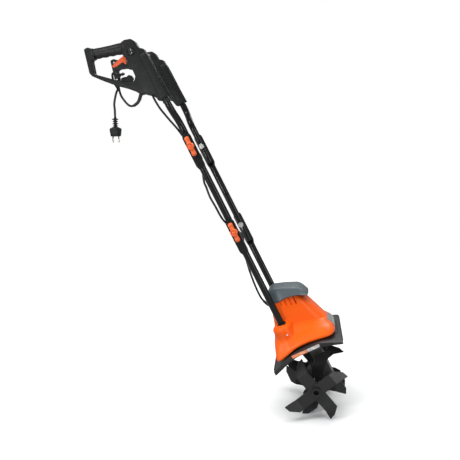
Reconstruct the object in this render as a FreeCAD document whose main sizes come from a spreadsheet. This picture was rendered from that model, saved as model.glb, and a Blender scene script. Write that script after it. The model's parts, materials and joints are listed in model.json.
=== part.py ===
import FreeCAD, Part
import math
import os
import Sketcher

# Electric tiller with a two-stage folding handle.  Every piece is drawn in the machine's own
# frame: X forward, Y to the operator's left, Z up along the handle tubes, origin on the axle of
# the tines.  The finished pieces are then leaned back by lean_angle, as the machine stands when
# it is held for work, and moved so that the middle of the underside of the whole is the origin.

V = FreeCAD.Vector
RIGHT = -1
LEFT = 1

DIMS = {
    "lean_angle": 26, "play": 0.05, "wall": 3,
    # handle tubes: tube_line is their X, track_half and grip_half their distance from the middle
    "tube_dia": 22, "tube_wall": 1.5, "tube_line": -10, "track_half": 95, "grip_half": 130,
    "tube_foot": 152, "joint_low": 574, "joint_high": 880, "flare_start": 945, "flare_end": 1030,
    "tube_top": 1192,
    # lapped joints, measured from the bolt along the tube
    "lap_offset": 4, "lap_play": 0.1, "lap_plate": 8, "lap_width": 28, "lap_top": 45,
    "lap_scoop_near": 66, "lap_scoop_far": 79, "lap_tail": 62, "lap_flat": 52,
    "bolt_dia": 8, "bolt_head_dia": 18, "bolt_head": 5, "bolt_end": 122,
    "knob_length": 67, "knob_width": 18, "knob_boss_dia": 23, "knob_start": 107.2,
    "knob_end": 127, "knob_gap": 4,
    # handles
    "handle_thick": 28, "grip_dia": 30, "grip_start": -147, "grip_end": -57,
    "lever_pivot_x": -62, "lever_pivot_z": 1199, "lever_pin_dia": 4, "lever_thick": 12,
    "button_x": -38, "button_z": 1220, "button_dia": 20, "button_travel": 4, "button_length": 8,
    "screw_shank": 1.6, "screw_head": 3.2, "hook_half": 5, "tang_play": 0.1, "cord_boot_dia": 11.2,
    # cables
    "cable_dia": 7, "plug_width": 37, "plug_depth": 26, "pin_dia": 4.8, "pin_pitch": 19,
    "pin_length": 19,
    # drive
    "wheel_teeth": 30, "wheel_root": 27.6, "wheel_tip": 32, "wheel_width": 12,
    "worm_axis": 40, "worm_core": 7.5, "worm_tip": 12, "worm_pitch": 6.2832,
    "shaft_dia": 18, "shaft_half": 140, "motor_shaft_dia": 8, "bearing_dia": 22,
    "bearing_width": 7, "foot_bearing": -30.5, "fan_bearing": 118, "top_bearing": 274,
    "shaft_bore": 5, "fan_base": 154, "fan_radius": 41, "commutator_base": 243,
    "stator_dia": 90, "stator_base": 172, "stator_height": 60, "post_spot": 50, "post_dia": 9,
    # gearbox
    "chamber_radius": 38, "chamber_room": 33.5, "gearbox_half_width": 24, "flange_half": 40,
    "flange_base": 132, "flange_top": 138.5, "flange_bolt_dia": 6,
    # casings
    "hood_half": 80, "skirt_half": 150, "hood_floor": 148, "skirt_top": 213,
    "guard_half": 165, "guard_thick": 3, "plate_base": 142.2, "plate_thick": 5,
    "socket_dia": 30, "socket_top": 196, "collar_dia": 38, "collar_top": 230, "guard_lip": 13,
    "hood_screw_dia": 5,
    # tines
    "hub_dia": 30, "hub_length": 62, "hub_start": 28.5, "hub_gap": 0.5, "pin_inner": 75,
    "pin_outer": 108, "strip_width": 40, "strip_thick": 4, "strip_flat": 67,
    "strip_bend": 48, "bend_angle": 30, "inner_star": 60, "outer_star": 141,
    "strip_gap": 0.1, "inner_turn": 55, "outer_turn": 15, "tine_pin_dia": 6,
}

doc = FreeCAD.newDocument("tiller")
sheet = doc.addObject("Spreadsheet::Sheet", "dims")
for row, (name, number) in enumerate(DIMS.items(), start=1):
    sheet.set(f"A{row}", name)
    sheet.set(f"B{row}", str(number))
    sheet.setAlias(f"B{row}", name)
doc.recompute()

nodes = []


def dim(name):
    return float(sheet.get(name))


def size(expression):
    return float(sheet.evalExpression(expression))


# ---------------------------------------------------------------- sketch and feature helpers

def new_body(label):
    made = doc.addObject("PartDesign::Body", label)
    made.Label = label
    return made


def sketch(owner, role, offset=0.0):
    plane = next(item for item in owner.Origin.OriginFeatures if item.Role == role)
    made = owner.newObject("Sketcher::SketchObject", "outline")
    made.AttachmentSupport = (plane, "")
    made.MapMode = "FlatFace"
    made.AttachmentOffset = FreeCAD.Placement(V(0, 0, offset), FreeCAD.Rotation())
    return made


def polygon(made, points):
    for start, end in zip(points, points[1:] + points[:1]):
        made.addGeometry(Part.LineSegment(V(*start, 0), V(*end, 0)))


def circle(made, x, y, radius):
    """A circle whose radius is an expression on the sheet."""
    index = made.addGeometry(Part.Circle(V(x, y, 0), V(0, 0, 1), size(radius)))
    rule = made.addConstraint(Sketcher.Constraint("Radius", index, size(radius)))
    made.setExpression(f"Constraints[{rule}]", radius)


def arc(made, centre, radius, start, end):
    angles = (start, (start + end) / 2, end)
    points = [V(centre[0] + radius * math.cos(a), centre[1] + radius * math.sin(a), 0) for a in angles]
    made.addGeometry(Part.Arc(*points))


def feature(owner, kind, profile, length=None, both_sides=False, backward=False):
    """Pad or Pocket of a sketch; length is an expression, and None cuts through everything."""
    made = owner.newObject("PartDesign::" + kind, kind)
    made.Profile = profile
    if length is None:
        made.Type = "ThroughAll"
    else:
        made.setExpression("Length", length)
    if both_sides:
        made.SideType = "Symmetric"
    made.Reversed = backward
    return made


def cut(owner, profile, length=None, both_sides=False, backward=False):
    """A Pocket that has to take something away."""
    doc.recompute()
    before = owner.Shape.Volume
    feature(owner, "Pocket", profile, length, both_sides, backward)
    doc.recompute()
    if owner.Shape.Volume > before - 0.01:
        raise RuntimeError(f"a pocket of {owner.Label} cuts nothing")


def upright(owner, kind, z, rounds, length, backward=False):
    """Pad or Pocket of circles (x, y, radius) along Z."""
    made = sketch(owner, "XY_Plane", z)
    for x, y, radius in rounds:
        circle(made, x, y, radius)
    if kind == "Pad":
        feature(owner, kind, made, length, backward=backward)
    else:
        cut(owner, made, length, backward=backward)


def slab(owner, kind, y_top, length, loops=(), rounds=()):
    """Pad or Pocket of outlines in the X-Z plane, from Y = y_top towards -Y."""
    made = sketch(owner, "XZ_Plane", -y_top)
    for loop in loops:
        polygon(made, loop)
    for x, z, radius in rounds:
        circle(made, x, z, radius)
    if kind == "Pad":
        feature(owner, kind, made, length)
    else:
        cut(owner, made, length, backward=True)


def loft(owner, kind, lower, upper):
    made = owner.newObject("PartDesign::" + kind, kind)
    made.Profile = lower
    made.Sections = [upper]


def rectangle(x_low, x_high, y_low, y_high):
    return [(x_low, y_low), (x_high, y_low), (x_high, y_high), (x_low, y_high)]


def rectangle_sketch(owner, z, corners):
    made = sketch(owner, "XY_Plane", z)
    polygon(made, rectangle(*corners))
    return made


def shift(x=0.0, y=0.0, z=0.0, axis=V(0, 1, 0), angle=0.0):
    return FreeCAD.Placement(V(x, y, z), FreeCAD.Rotation(axis, angle))


def node(made, placement=None):
    """Keep a piece, with its place in the machine's frame."""
    nodes.append((made, placement or FreeCAD.Placement(made.Placement)))
    return made


def cylinder(label, radius, height, placement):
    made = doc.addObject("Part::Cylinder", label)
    made.setExpression("Radius", radius)
    made.setExpression("Height", height)
    made.Placement = placement
    return made


def box(label, x_size, y_size, z_size, placement):
    made = doc.addObject("Part::Box", label)
    made.setExpression("Length", x_size)
    made.setExpression("Width", y_size)
    made.setExpression("Height", z_size)
    made.Placement = placement
    return made


def fuse(label, pieces):
    made = doc.addObject("Part::MultiFuse", label)
    made.Shapes = pieces
    return made


def group(label, pieces):
    """Identical separate pieces that share one node."""
    made = doc.addObject("Part::Compound", label)
    made.Label = label
    made.Links = pieces
    return made


def along_y(x, y, z, side=1):
    """Placement of a cylinder that starts at y and runs towards side * Y."""
    return shift(x, y, z, V(1, 0, 0), -90 * side)


def swept(label, points, radius):
    """A round flexible lead through free points, which no planar sketch can hold."""
    spine = Part.BSplineCurve()
    spine.interpolate([V(*point) for point in points])
    start = V(*points[0])
    tangent = spine.tangent(spine.FirstParameter)[0]
    ring = Part.Wire(Part.Circle(start, tangent, radius).toShape())
    made = doc.addObject("Part::Feature", label)
    made.Label = label
    made.Shape = Part.Wire(spine.toShape()).makePipeShell([ring], True, True)
    return made


def side_name(side):
    return "right" if side == RIGHT else "left"


# ---------------------------------------------------------------- folding tubes

LAP_FACE = dim("track_half") + dim("lap_offset")
PLATE_FACE = LAP_FACE + dim("lap_play")


def slab_side(owner, kind, side, near, thickness, loops=(), rounds=()):
    """A slab that starts at |Y| = near and grows outward on the given side."""
    y_top = -near if side == RIGHT else near + size(thickness)
    slab(owner, kind, y_top, thickness, loops, rounds)


def tube_piece(owner, side, low, high):
    y = side * dim("track_half")
    x = dim("tube_line")
    rounds = [(x, y, "dims.tube_dia / 2"), (x, y, "dims.tube_dia / 2 - dims.tube_wall")]
    upright(owner, "Pad", low, rounds, f"{high - low}")


def pressed_plate(owner, side, bolt_z):
    """The upper end of a member: the round tube is pressed to a flat plate on the outer side."""
    x = dim("tube_line")
    half = dim("lap_width") / 2
    foot = bolt_z - dim("lap_scoop_near")
    round_end = sketch(owner, "XY_Plane", bolt_z - dim("lap_scoop_far"))
    circle(round_end, x, side * dim("track_half"), "dims.tube_dia / 2")
    near = side * PLATE_FACE
    far = side * (PLATE_FACE + dim("lap_plate"))
    flat_end = rectangle_sketch(owner, foot, (x - half, x + half, min(near, far), max(near, far)))
    loft(owner, "AdditiveLoft", round_end, flat_end)
    shoulder = bolt_z + dim("lap_top") - half
    y_top = max(near, far)
    made = sketch(owner, "XZ_Plane", -y_top)
    corners = [(x - half, shoulder), (x - half, foot), (x + half, foot), (x + half, shoulder)]
    for start, end in zip(corners, corners[1:]):
        made.addGeometry(Part.LineSegment(V(*start, 0), V(*end, 0)))
    arc(made, (x, shoulder), half, 0, math.pi)
    feature(owner, "Pad", made, "dims.lap_plate")
    rounds = [(x, bolt_z, "dims.bolt_dia / 2 + dims.play")]
    slab(owner, "Pocket", y_top, "dims.lap_plate", rounds=rounds)


def flat_foot(owner, side, bolt_z):
    """The lower end of a member: filled by a plug and pressed flat on its outer side."""
    x = dim("tube_line")
    low = bolt_z - dim("lap_tail")
    high = bolt_z + dim("lap_flat")
    rounds = [(x, side * dim("track_half"), "dims.tube_dia / 2")]
    upright(owner, "Pad", low, rounds, "dims.lap_tail + dims.lap_flat")
    reach = dim("tube_dia")
    window = rectangle(x - reach, x + reach, low - 1, high - 1)
    slab_side(owner, "Pocket", side, LAP_FACE, "dims.tube_dia / 2", [window])
    bore = [(x, bolt_z, "dims.bolt_dia / 2")]
    y_top = max(side * dim("track_half") - dim("tube_dia"), side * dim("track_half") + dim("tube_dia"))
    slab(owner, "Pocket", y_top, "dims.tube_dia * 2", rounds=bore)
    return high


def lower_tube(side):
    made = new_body("lower_tube_" + side_name(side))
    tube_piece(made, side, dim("tube_foot"), dim("joint_low") - dim("lap_scoop_far"))
    pressed_plate(made, side, dim("joint_low"))
    return made


def middle_tube(side):
    made = new_body("middle_tube_" + side_name(side))
    high = flat_foot(made, side, dim("joint_low"))
    tube_piece(made, side, high, dim("joint_high") - dim("lap_scoop_far"))
    pressed_plate(made, side, dim("joint_high"))
    return made


def upper_tube(side):
    """The upper member bends outward, from the track of the lower tubes to that of the handles."""
    made = new_body("upper_tube_" + side_name(side))
    high = flat_foot(made, side, dim("joint_high"))
    x = dim("tube_line")
    inner = side * dim("track_half")
    outer = side * dim("grip_half")
    rise = dim("flare_end") - dim("flare_start")
    step = abs(outer - inner)
    radius = (rise ** 2 + step ** 2) / (4 * step)
    turn = math.asin(rise / (2 * radius))
    ring = sketch(made, "XY_Plane", high)
    circle(ring, x, inner, "dims.tube_dia / 2")
    circle(ring, x, inner, "dims.tube_dia / 2 - dims.tube_wall")
    spine = sketch(made, "YZ_Plane", x)
    spine.addGeometry(Part.LineSegment(V(inner, high, 0), V(inner, dim("flare_start"), 0)))
    first = (inner + side * radius, dim("flare_start"))
    second = (outer - side * radius, dim("flare_end"))
    if side == RIGHT:
        arc(spine, first, radius, 0, turn)
        arc(spine, second, radius, math.pi + turn, math.pi)
    else:
        arc(spine, first, radius, math.pi, math.pi - turn)
        arc(spine, second, radius, -turn, 0)
    spine.addGeometry(Part.LineSegment(V(outer, dim("flare_end"), 0), V(outer, dim("tube_top"), 0)))
    pipe = made.newObject("PartDesign::AdditivePipe", "flare")
    pipe.Profile = ring
    pipe.Spine = (spine, [])
    return made


def carriage_bolt(label, side, bolt_z):
    x = dim("tube_line")
    seat = side * (dim("track_half") - dim("tube_dia") / 2)
    shank = cylinder(label + "_shank", "dims.bolt_dia / 2",
                     "dims.bolt_end - dims.track_half + dims.tube_dia / 2",
                     along_y(x, seat, bolt_z, side))
    head = cylinder(label + "_head", "dims.bolt_head_dia / 2", "dims.bolt_head",
                    along_y(x, seat - side * dim("bolt_head"), bolt_z, side))
    made = fuse(label, [shank, head])
    made.Label = label
    return node(made)


def wing_knob(label, side, bolt_z):
    """A wing along the tube with a round boss; the bore leaves the outer skin closed."""
    made = new_body(label)
    x = dim("tube_line")
    half = dim("knob_width") / 2
    reach = dim("knob_length") / 2 - half
    depth = "dims.knob_end - dims.knob_start"
    wing_near = dim("knob_start") + dim("knob_gap")
    wing = sketch(made, "XZ_Plane", -max(side * dim("knob_end"), side * wing_near))
    wing.addGeometry(Part.LineSegment(V(x - half, bolt_z - reach, 0), V(x - half, bolt_z + reach, 0)))
    arc(wing, (x, bolt_z + reach), half, math.pi, 0)
    wing.addGeometry(Part.LineSegment(V(x + half, bolt_z + reach, 0), V(x + half, bolt_z - reach, 0)))
    arc(wing, (x, bolt_z - reach), half, 0, -math.pi)
    feature(made, "Pad", wing, depth + " - dims.knob_gap")
    slab_side(made, "Pad", side, dim("knob_start"), depth, rounds=[(x, bolt_z, "dims.knob_boss_dia / 2")])
    bore = "dims.bolt_end - dims.knob_start + 1"
    slab_side(made, "Pocket", side, dim("knob_start"), bore,
              rounds=[(x, bolt_z, "dims.bolt_dia / 2 + dims.play")])
    return node(made)


# ---------------------------------------------------------------- handles

HANDLE_OUTLINE = [
    (-169, 1298.5), (-155.5, 1297), (-146, 1288), (-52, 1260), (-42, 1262), (-21, 1255),
    (-13, 1241), (-12, 1220), (1.5, 1209), (2, 1046), (-30, 1046), (-36, 1071), (-58, 1087),
    (-71, 1089), (-86, 1113), (-130, 1152), (-160, 1184), (-184.5, 1213), (-188, 1225),
]
HANDLE_OPENING = [
    (-162, 1256.5), (-150, 1255), (-69, 1228), (-62, 1210), (-74.6, 1181), (-60.4, 1171),
    (-61.7, 1148), (-69.4, 1139), (-78, 1138), (-91, 1145), (-123.5, 1168.6), (-169, 1210),
    (-174.5, 1215),
]
HOOK = [(-110, 1162), (-107.5, 1167), (-91, 1166), (-81, 1164), (-74, 1152), (-92, 1140), (-104, 1150)]
SWITCH_ROOM = [(-56, 1182), (-24, 1182), (-24, 1238), (-50, 1238), (-56, 1212)]
LEVER_SLOT = [(-80, 1186), (-55, 1186), (-55, 1214), (-62, 1226), (-80, 1226)]
BOOT_SEAT = [(-100, 1078), (-60, 1078), (-60, 1106), (-100, 1112)]
SCREW_SPOTS = [(-178, 1228), (-160, 1284), (-34, 1248), (-48, 1100), (-150, 1183), (-45, 1160)]
GRIP_AXIS_START = V(-150.3, 0, 1273.6)
GRIP_AXIS_END = V(-56.3, 0, 1245.6)


def grip_point(x):
    """Height of the grip's axis at a given X."""
    part = (x - GRIP_AXIS_START.x) / (GRIP_AXIS_END.x - GRIP_AXIS_START.x)
    return GRIP_AXIS_START.z + part * (GRIP_AXIS_END.z - GRIP_AXIS_START.z)


GRIP_SLOPE = math.atan2(GRIP_AXIS_END.z - GRIP_AXIS_START.z, GRIP_AXIS_END.x - GRIP_AXIS_START.x)
TANG_HALF = 7


def grip_band(x_low, x_high, half):
    """Corners of a band of half-width half about the grip's axis."""
    up = (-math.sin(GRIP_SLOPE) * half, math.cos(GRIP_SLOPE) * half)
    ends = [(x_low, grip_point(x_low)), (x_high, grip_point(x_high))]
    (x1, z1), (x2, z2) = ends
    return [(x1 - up[0], z1 - up[1]), (x2 - up[0], z2 - up[1]),
            (x2 + up[0], z2 + up[1]), (x1 + up[0], z1 + up[1])]


def handle_half(side, outer):
    """One moulded half of a D handle, parted on the plane of its tube."""
    label = f"handle_{side_name(side)}_" + ("outer" if outer else "inner")
    made = new_body(label)
    grow = side if outer else -side
    middle = side * dim("grip_half")

    def layer(kind, thickness, loops=(), rounds=()):
        y_top = middle if grow < 0 else middle + size(thickness)
        slab(made, kind, y_top, thickness, loops, rounds)

    full = "dims.handle_thick / 2"
    layer("Pad", full, [HANDLE_OUTLINE, HANDLE_OPENING])
    layer("Pocket", full, [grip_band(dim("grip_start") - 0.2, dim("grip_end") + 0.2, 24)])
    tang = TANG_HALF - dim("tang_play")
    layer("Pad", f"{tang}", [grip_band(dim("grip_start") - 6, dim("grip_end") + 6, tang)])
    if side == RIGHT:
        layer("Pad", "dims.hook_half", [HOOK])
        layer("Pocket", "dims.handle_thick / 2 - dims.wall", [SWITCH_ROOM])
        layer("Pocket", "dims.lever_thick / 2 + 0.5", [LEVER_SLOT])
        layer("Pocket", "dims.lever_thick / 2", [BOOT_SEAT])
        pin = (dim("lever_pivot_x"), dim("lever_pivot_z"), "dims.lever_pin_dia / 2")
        layer("Pocket", "dims.handle_thick / 2 - dims.wall", rounds=[pin])
        if outer:
            layer("Pocket", full, rounds=[(dim("button_x"), dim("button_z"),
                                           "dims.button_dia / 2 + dims.play")])
    upright(made, "Pocket", dim("tube_top") + 1,
            [(dim("tube_line"), middle, "dims.tube_dia / 2")], "160")
    layer("Pocket", full, rounds=[(x, z, "dims.screw_shank") for x, z in SCREW_SPOTS])
    return node(made)


def handle_screws(side):
    """Six screws from the inner face, their heads resting on it."""
    inner_face = side * (dim("grip_half") - dim("handle_thick") / 2)
    pieces = []
    for index, (x, z) in enumerate(SCREW_SPOTS):
        name = f"handle_screw_{side_name(side)}_{index}"
        shank = cylinder(name + "_shank", "dims.screw_shank", "dims.handle_thick - 2",
                         along_y(x, inner_face, z, side))
        head = cylinder(name + "_head", "dims.screw_head", "dims.screw_shank",
                        along_y(x, inner_face - side * dim("screw_shank"), z, side))
        pieces.append(fuse(name, [shank, head]))
    return node(group(f"handle_screws_{side_name(side)}", pieces))


def grip(side):
    """Grip sleeve around the square tangs of the two halves."""
    made = new_body(f"grip_{side_name(side)}")
    x_low = dim("grip_start")
    length = (dim("grip_end") - x_low) / math.cos(GRIP_SLOPE)
    profile = sketch(made, "YZ_Plane")
    circle(profile, 0, 0, "dims.grip_dia / 2")
    polygon(profile, [(-TANG_HALF, -TANG_HALF), (TANG_HALF, -TANG_HALF),
                      (TANG_HALF, TANG_HALF), (-TANG_HALF, TANG_HALF)])
    feature(made, "Pad", profile, f"{length}")
    return node(made, shift(x_low, side * dim("grip_half"), grip_point(x_low),
                            angle=-math.degrees(GRIP_SLOPE)))


def switch_lever():
    made = new_body("switch_lever")
    y_top = -dim("grip_half") + dim("lever_thick") / 2
    x = dim("lever_pivot_x")
    z = dim("lever_pivot_z")
    blade = [(-115, 1212), (-112, 1206), (-73, 1194), (x, z - 6), (x + 3, z), (-57, 1210),
             (-67, 1222), (-78, 1221)]
    slab(made, "Pad", y_top, "dims.lever_thick", [blade])
    slab(made, "Pad", y_top, "dims.lever_thick", rounds=[(x, z, "6")])
    slab(made, "Pocket", y_top, "dims.lever_thick", rounds=[(x, z, "dims.lever_pin_dia / 2 + dims.play")])
    return node(made)


def lock_button():
    """Round lock-off button in the outer half, with a collar inside the shell."""
    outside = dim("grip_half") + dim("handle_thick") / 2 + dim("button_travel")
    start = dim("button_length") - outside
    place = along_y(dim("button_x"), start, dim("button_z"), RIGHT)
    return node(cylinder("lock_button", "dims.button_dia / 2", "dims.button_length", place))


def switch_unit():
    """Switch block in the room between the two halves, clear of the lever and the button."""
    y_low = -dim("grip_half") - 5
    return node(box("switch_unit", "26", "14", "24", shift(-52, y_low, 1183)))


def right_cord():
    """Bend boot, cord, plug and pins.  The cord runs up behind the lower bar of the handle,
    over the cord hook and back, and hangs plumb."""
    lean = math.radians(dim("lean_angle"))

    def hanging(x, y, z):
        """A point given in level axes through the axle, in the machine's frame."""
        return (x * math.cos(lean) + z * math.sin(lean), y, z * math.cos(lean) - x * math.sin(lean))

    boot = [(-66, -130, 1099), (-76, -130, 1091), (-85, -130, 1082), (-96, -129.5, 1075.5),
            (-110, -128, 1073)]
    node(swept("cord_boot", boot, dim("cord_boot_dia") / 2))
    cord = [(-111.5, -126.8, 1072.6), (-124, -122, 1082), (-134, -112, 1102), (-137, -106, 1128),
            (-131, -104, 1156), (-116, -106, 1178), (-102, -113, 1181), (-94, -124, 1176),
            (-97, -136, 1173), (-110, -139, 1182), (-123, -130, 1192), (-134, -112, 1188),
            (-141, -99, 1170), (-140, -99, 1150), hanging(-633, -107, 958), hanging(-639, -111, 927),
            hanging(-638, -112, 905), hanging(-638, -112, 882.5)]
    node(swept("power_cord", cord, dim("cable_dia") / 2))

    x, y, z = hanging(-638, -112, 822)
    plug = new_body("mains_plug")
    half_width = dim("plug_width") / 2
    outline = sketch(plug, "XZ_Plane", 0)
    polygon(outline, [(-half_width * 0.8, 0), (half_width * 0.8, 0), (half_width, 4), (half_width, 22),
                      (9, 30), (7, 60), (-7, 60), (-9, 30), (-half_width, 22), (-half_width, 4)])
    feature(plug, "Pad", outline, "dims.plug_depth", both_sides=True)
    plumb = shift(x, y, z, angle=dim("lean_angle"))
    node(plug, plumb)
    pins = []
    for index, sign in enumerate((-1, 1)):
        spot = shift(sign * dim("pin_pitch") / 2, 0, -dim("pin_length"))
        pins.append(cylinder(f"plug_pin_{index}", "dims.pin_dia / 2", "dims.pin_length", spot))
    node(group("plug_pins", pins), plumb)


def motor_cable():
    """The lead from the switch to the motor, one length for each member of the folding handle."""
    radius = dim("cable_dia") / 2
    node(swept("cable_upper", [(-44, -122, 1068), (-42, -118, 1030), (-34, -112, 990), (-26, -95, 950),
                               (-22, -77, 915)], radius))
    node(swept("cable_middle", [(-2, -72, 838), (-16, -76, 800), (-27, -96, 744), (-30, -94, 676),
                                (-30, -78, 625)], radius))
    node(swept("cable_lower", [(-2, -58, 540), (-18, -60, 500), (-32, -60, 455), (-41, -60, 398),
                               (-41, -60, 350), (-46, -60, 306), (-43, -60, 290), (-35, -60, 286)], radius))
    made = new_body("cable_clip")
    x = dim("tube_line")
    y = -dim("grip_half")
    upright(made, "Pad", 1034, [(x, y, "dims.tube_dia / 2 + 1.6"), (x, y, "dims.tube_dia / 2")], "9")
    node(made)


# ---------------------------------------------------------------- drive

def ring_points(profile, count, start=0.0):
    """Corner points of a toothed ring: profile holds (part of a pitch, radius)."""
    points = []
    for index in range(count):
        for part, radius in profile:
            angle = start + 2 * math.pi * (index + part) / count
            points.append((radius * math.cos(angle), radius * math.sin(angle)))
    return points


def worm_wheel():
    """Thirty teeth; a gap of the ring faces the worm at rest."""
    made = new_body("worm_wheel")
    root = dim("wheel_root")
    tip = dim("wheel_tip")
    tooth = [(0.29, root), (0.41, tip), (0.59, tip), (0.71, root)]
    half = dim("wheel_width") / 2
    slab(made, "Pad", half, "dims.wheel_width", [ring_points(tooth, int(dim("wheel_teeth")))],
         [(0, 0, "dims.shaft_dia / 2")])
    slab(made, "Pocket", half, "dims.wheel_width", [rectangle(-2.5, 2.5, 6.5, 11.5)])
    return node(made)


def output_shaft():
    made = new_body("output_shaft")
    slab(made, "Pad", dim("shaft_half"), "dims.shaft_half * 2", rounds=[(0, 0, "dims.shaft_dia / 2")])
    slab(made, "Pocket", dim("wheel_width") / 2, "dims.wheel_width", [rectangle(-2.5, 2.5, 6.5, 11.5)])
    spots = [(0, y, "dims.tine_pin_dia / 2") for y in pin_spots()]
    upright(made, "Pocket", dim("shaft_dia"), spots, "dims.shaft_dia * 2")
    return node(made)


def pin_spots():
    return [side * dim(name) for side in (RIGHT, LEFT) for name in ("pin_inner", "pin_outer")]


def hub_spots():
    """Where each hub starts and where its pin sits."""
    inner = dim("hub_start")
    outer = inner + dim("hub_length") + dim("hub_gap")
    return [(inner, dim("pin_inner")), (outer, dim("pin_outer"))]


def tine_hubs():
    pieces = []
    for side in (RIGHT, LEFT):
        for index, (start, pin_y) in enumerate(hub_spots()):
            made = new_body(f"tine_hub_{side_name(side)}_{index}")
            y_top = side * start if side == RIGHT else start + dim("hub_length")
            slab(made, "Pad", y_top, "dims.hub_length",
                 rounds=[(0, 0, "dims.hub_dia / 2"), (0, 0, "dims.shaft_dia / 2 + dims.play")])
            upright(made, "Pocket", dim("hub_dia"), [(0, side * pin_y, "dims.tine_pin_dia / 2")],
                    "dims.hub_dia * 2")
            pieces.append(made)
    return node(group("tine_hubs", pieces))


TINE_TIP = [(62, 20), (82, 17), (103, -10), (106, -31), (84, -25), (68, -20)]


def thickened(line, thickness):
    """Outline of a bent sheet whose middle follows an open line of points."""
    sides = ([], [])
    for index, (x, y) in enumerate(line):
        before = line[max(index - 1, 0)]
        after = line[min(index + 1, len(line) - 1)]
        turns = [math.atan2(y - before[1], x - before[0]), math.atan2(after[1] - y, after[0] - x)]
        if index == 0:
            turns[0] = turns[1]
        if index == len(line) - 1:
            turns[1] = turns[0]
        middle = (turns[0] + turns[1]) / 2
        miter = thickness / 2 / math.cos((turns[1] - turns[0]) / 2)
        for side, sign in zip(sides, (1, -1)):
            side.append((x - sign * miter * math.sin(middle), y + sign * miter * math.cos(middle)))
    return sides[0] + sides[1][::-1]


def bent_strip_side(bends):
    """Side view of a strip: X along it, Y its thickness; each end is bent to +Y or -Y."""
    middle = dim("strip_thick") / 2
    flat = dim("strip_flat")
    angle = math.radians(dim("bend_angle"))
    tip = flat + dim("strip_bend") * math.cos(angle)
    rise = dim("strip_bend") * math.sin(angle)
    line = [(-tip, middle + bends[1] * rise), (-flat, middle), (flat, middle),
            (tip, middle + bends[0] * rise)]
    return thickened(line, dim("strip_thick"))


def tine_strip(name, y, turn, bends):
    """One strip through the hub, cut to a hooked point at each end."""
    made = new_body(name)
    reach = dim("strip_flat") + dim("strip_bend")
    side_view = sketch(made, "XY_Plane")
    polygon(side_view, bent_strip_side(bends))
    feature(made, "Pad", side_view, "dims.strip_width * 2", both_sides=True)
    plan = [(x, z) for x, z in TINE_TIP] + [(-x, -z) for x, z in TINE_TIP]
    around = sketch(made, "XZ_Plane")
    polygon(around, rectangle(-2 * reach, 2 * reach, -2 * reach, 2 * reach))
    polygon(around, plan)
    cut(made, around, both_sides=True)
    hole = sketch(made, "XZ_Plane")
    circle(hole, 0, 0, "dims.hub_dia / 2 + dims.play")
    cut(made, hole, both_sides=True)
    made.Placement = shift(y=y, angle=-turn)
    return made


def tine_stars(label, star_y, turn):
    """A star on each side: two crossed strips whose ends are bent in, in, in and out."""
    pieces = []
    thick = dim("strip_thick")
    for side in (RIGHT, LEFT):
        y_out = side * star_y if side == LEFT else -star_y - thick
        y_in = y_out - side * (thick + dim("strip_gap"))
        name = f"{label}_{side_name(side)}"
        pieces.append(tine_strip(name + "_long", y_out, turn, (-side, side)))
        pieces.append(tine_strip(name + "_cross", y_in, turn + 90, (-side, -side)))
    return node(group(label, pieces))


def tine_pins():
    pieces = []
    for index, y in enumerate(pin_spots()):
        name = f"tine_pin_{index}"
        shank = cylinder(name + "_shank", "dims.tine_pin_dia / 2", "42", shift(0, y, -21))
        head = cylinder(name + "_head", "dims.tine_pin_dia / 2 + 2", "3", shift(0, y, 18))
        pieces.append(fuse(name, [shank, head]))
    return node(group("tine_pins", pieces))


def motor_shaft():
    """The rotor's shaft, with the worm cut on its lower end."""
    made = new_body("motor_shaft")
    radius = dim("motor_shaft_dia") / 2
    core = dim("worm_core")
    profile = sketch(made, "XZ_Plane")
    polygon(profile, [(0, -31), (radius, -31), (radius, -23), (core, -23), (core, 23), (radius, 23),
                      (radius, 126), (5, 127), (5, 272), (radius, 273), (radius, 281), (0, 281)])
    turned = made.newObject("PartDesign::Revolution", "turned")
    turned.Profile = profile
    turned.ReferenceAxis = (profile, ["V_Axis"])
    turned.Angle = 360
    pitch = dim("worm_pitch")
    start = -3.5 * pitch
    thread = sketch(made, "XZ_Plane")
    polygon(thread, [(core - 0.6, start - 1.35), (dim("worm_tip"), start - 0.6),
                     (dim("worm_tip"), start + 0.6), (core - 0.6, start + 1.35)])
    helix = made.newObject("PartDesign::AdditiveHelix", "worm")
    helix.Profile = thread
    helix.ReferenceAxis = (thread, ["V_Axis"])
    helix.Mode = 0
    helix.setExpression("Pitch", "dims.worm_pitch")
    helix.setExpression("Height", "dims.worm_pitch * 7")
    return node(made, shift(dim("worm_axis")))


def rotor_parts():
    at_axis = shift(dim("worm_axis"))
    core = new_body("armature_core")
    profile = sketch(core, "XY_Plane", dim("stator_base"))
    slot = [(0.15, 25), (0.35, 25), (0.38, 15), (0.62, 15), (0.65, 25), (0.85, 25)]
    polygon(profile, ring_points(slot, 12))
    circle(profile, 0, 0, "dims.shaft_bore")
    feature(core, "Pad", profile, "dims.stator_height")
    node(core, at_axis)
    commutator = new_body("commutator")
    upright(commutator, "Pad", dim("commutator_base"), [(0, 0, "12"), (0, 0, "dims.shaft_bore")], "25")
    node(commutator, at_axis)
    fan = new_body("cooling_fan")
    base = dim("fan_base")
    upright(fan, "Pad", base, [(0, 0, "10"), (0, 0, "dims.shaft_bore")], "12")
    upright(fan, "Pad", base, [(0, 0, "dims.fan_radius"), (0, 0, "9")], "2")
    blade = rectangle_sketch(fan, base + 1, (9, dim("fan_radius") - 1, -1, 1))
    padded = feature(fan, "Pad", blade, "9")
    pattern = fan.newObject("PartDesign::PolarPattern", "blades")
    pattern.Originals = [padded]
    pattern.Axis = (blade, ["N_Axis"])
    pattern.Angle = 360
    pattern.Occurrences = 11
    fan.Tip = pattern
    node(fan, at_axis)


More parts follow.
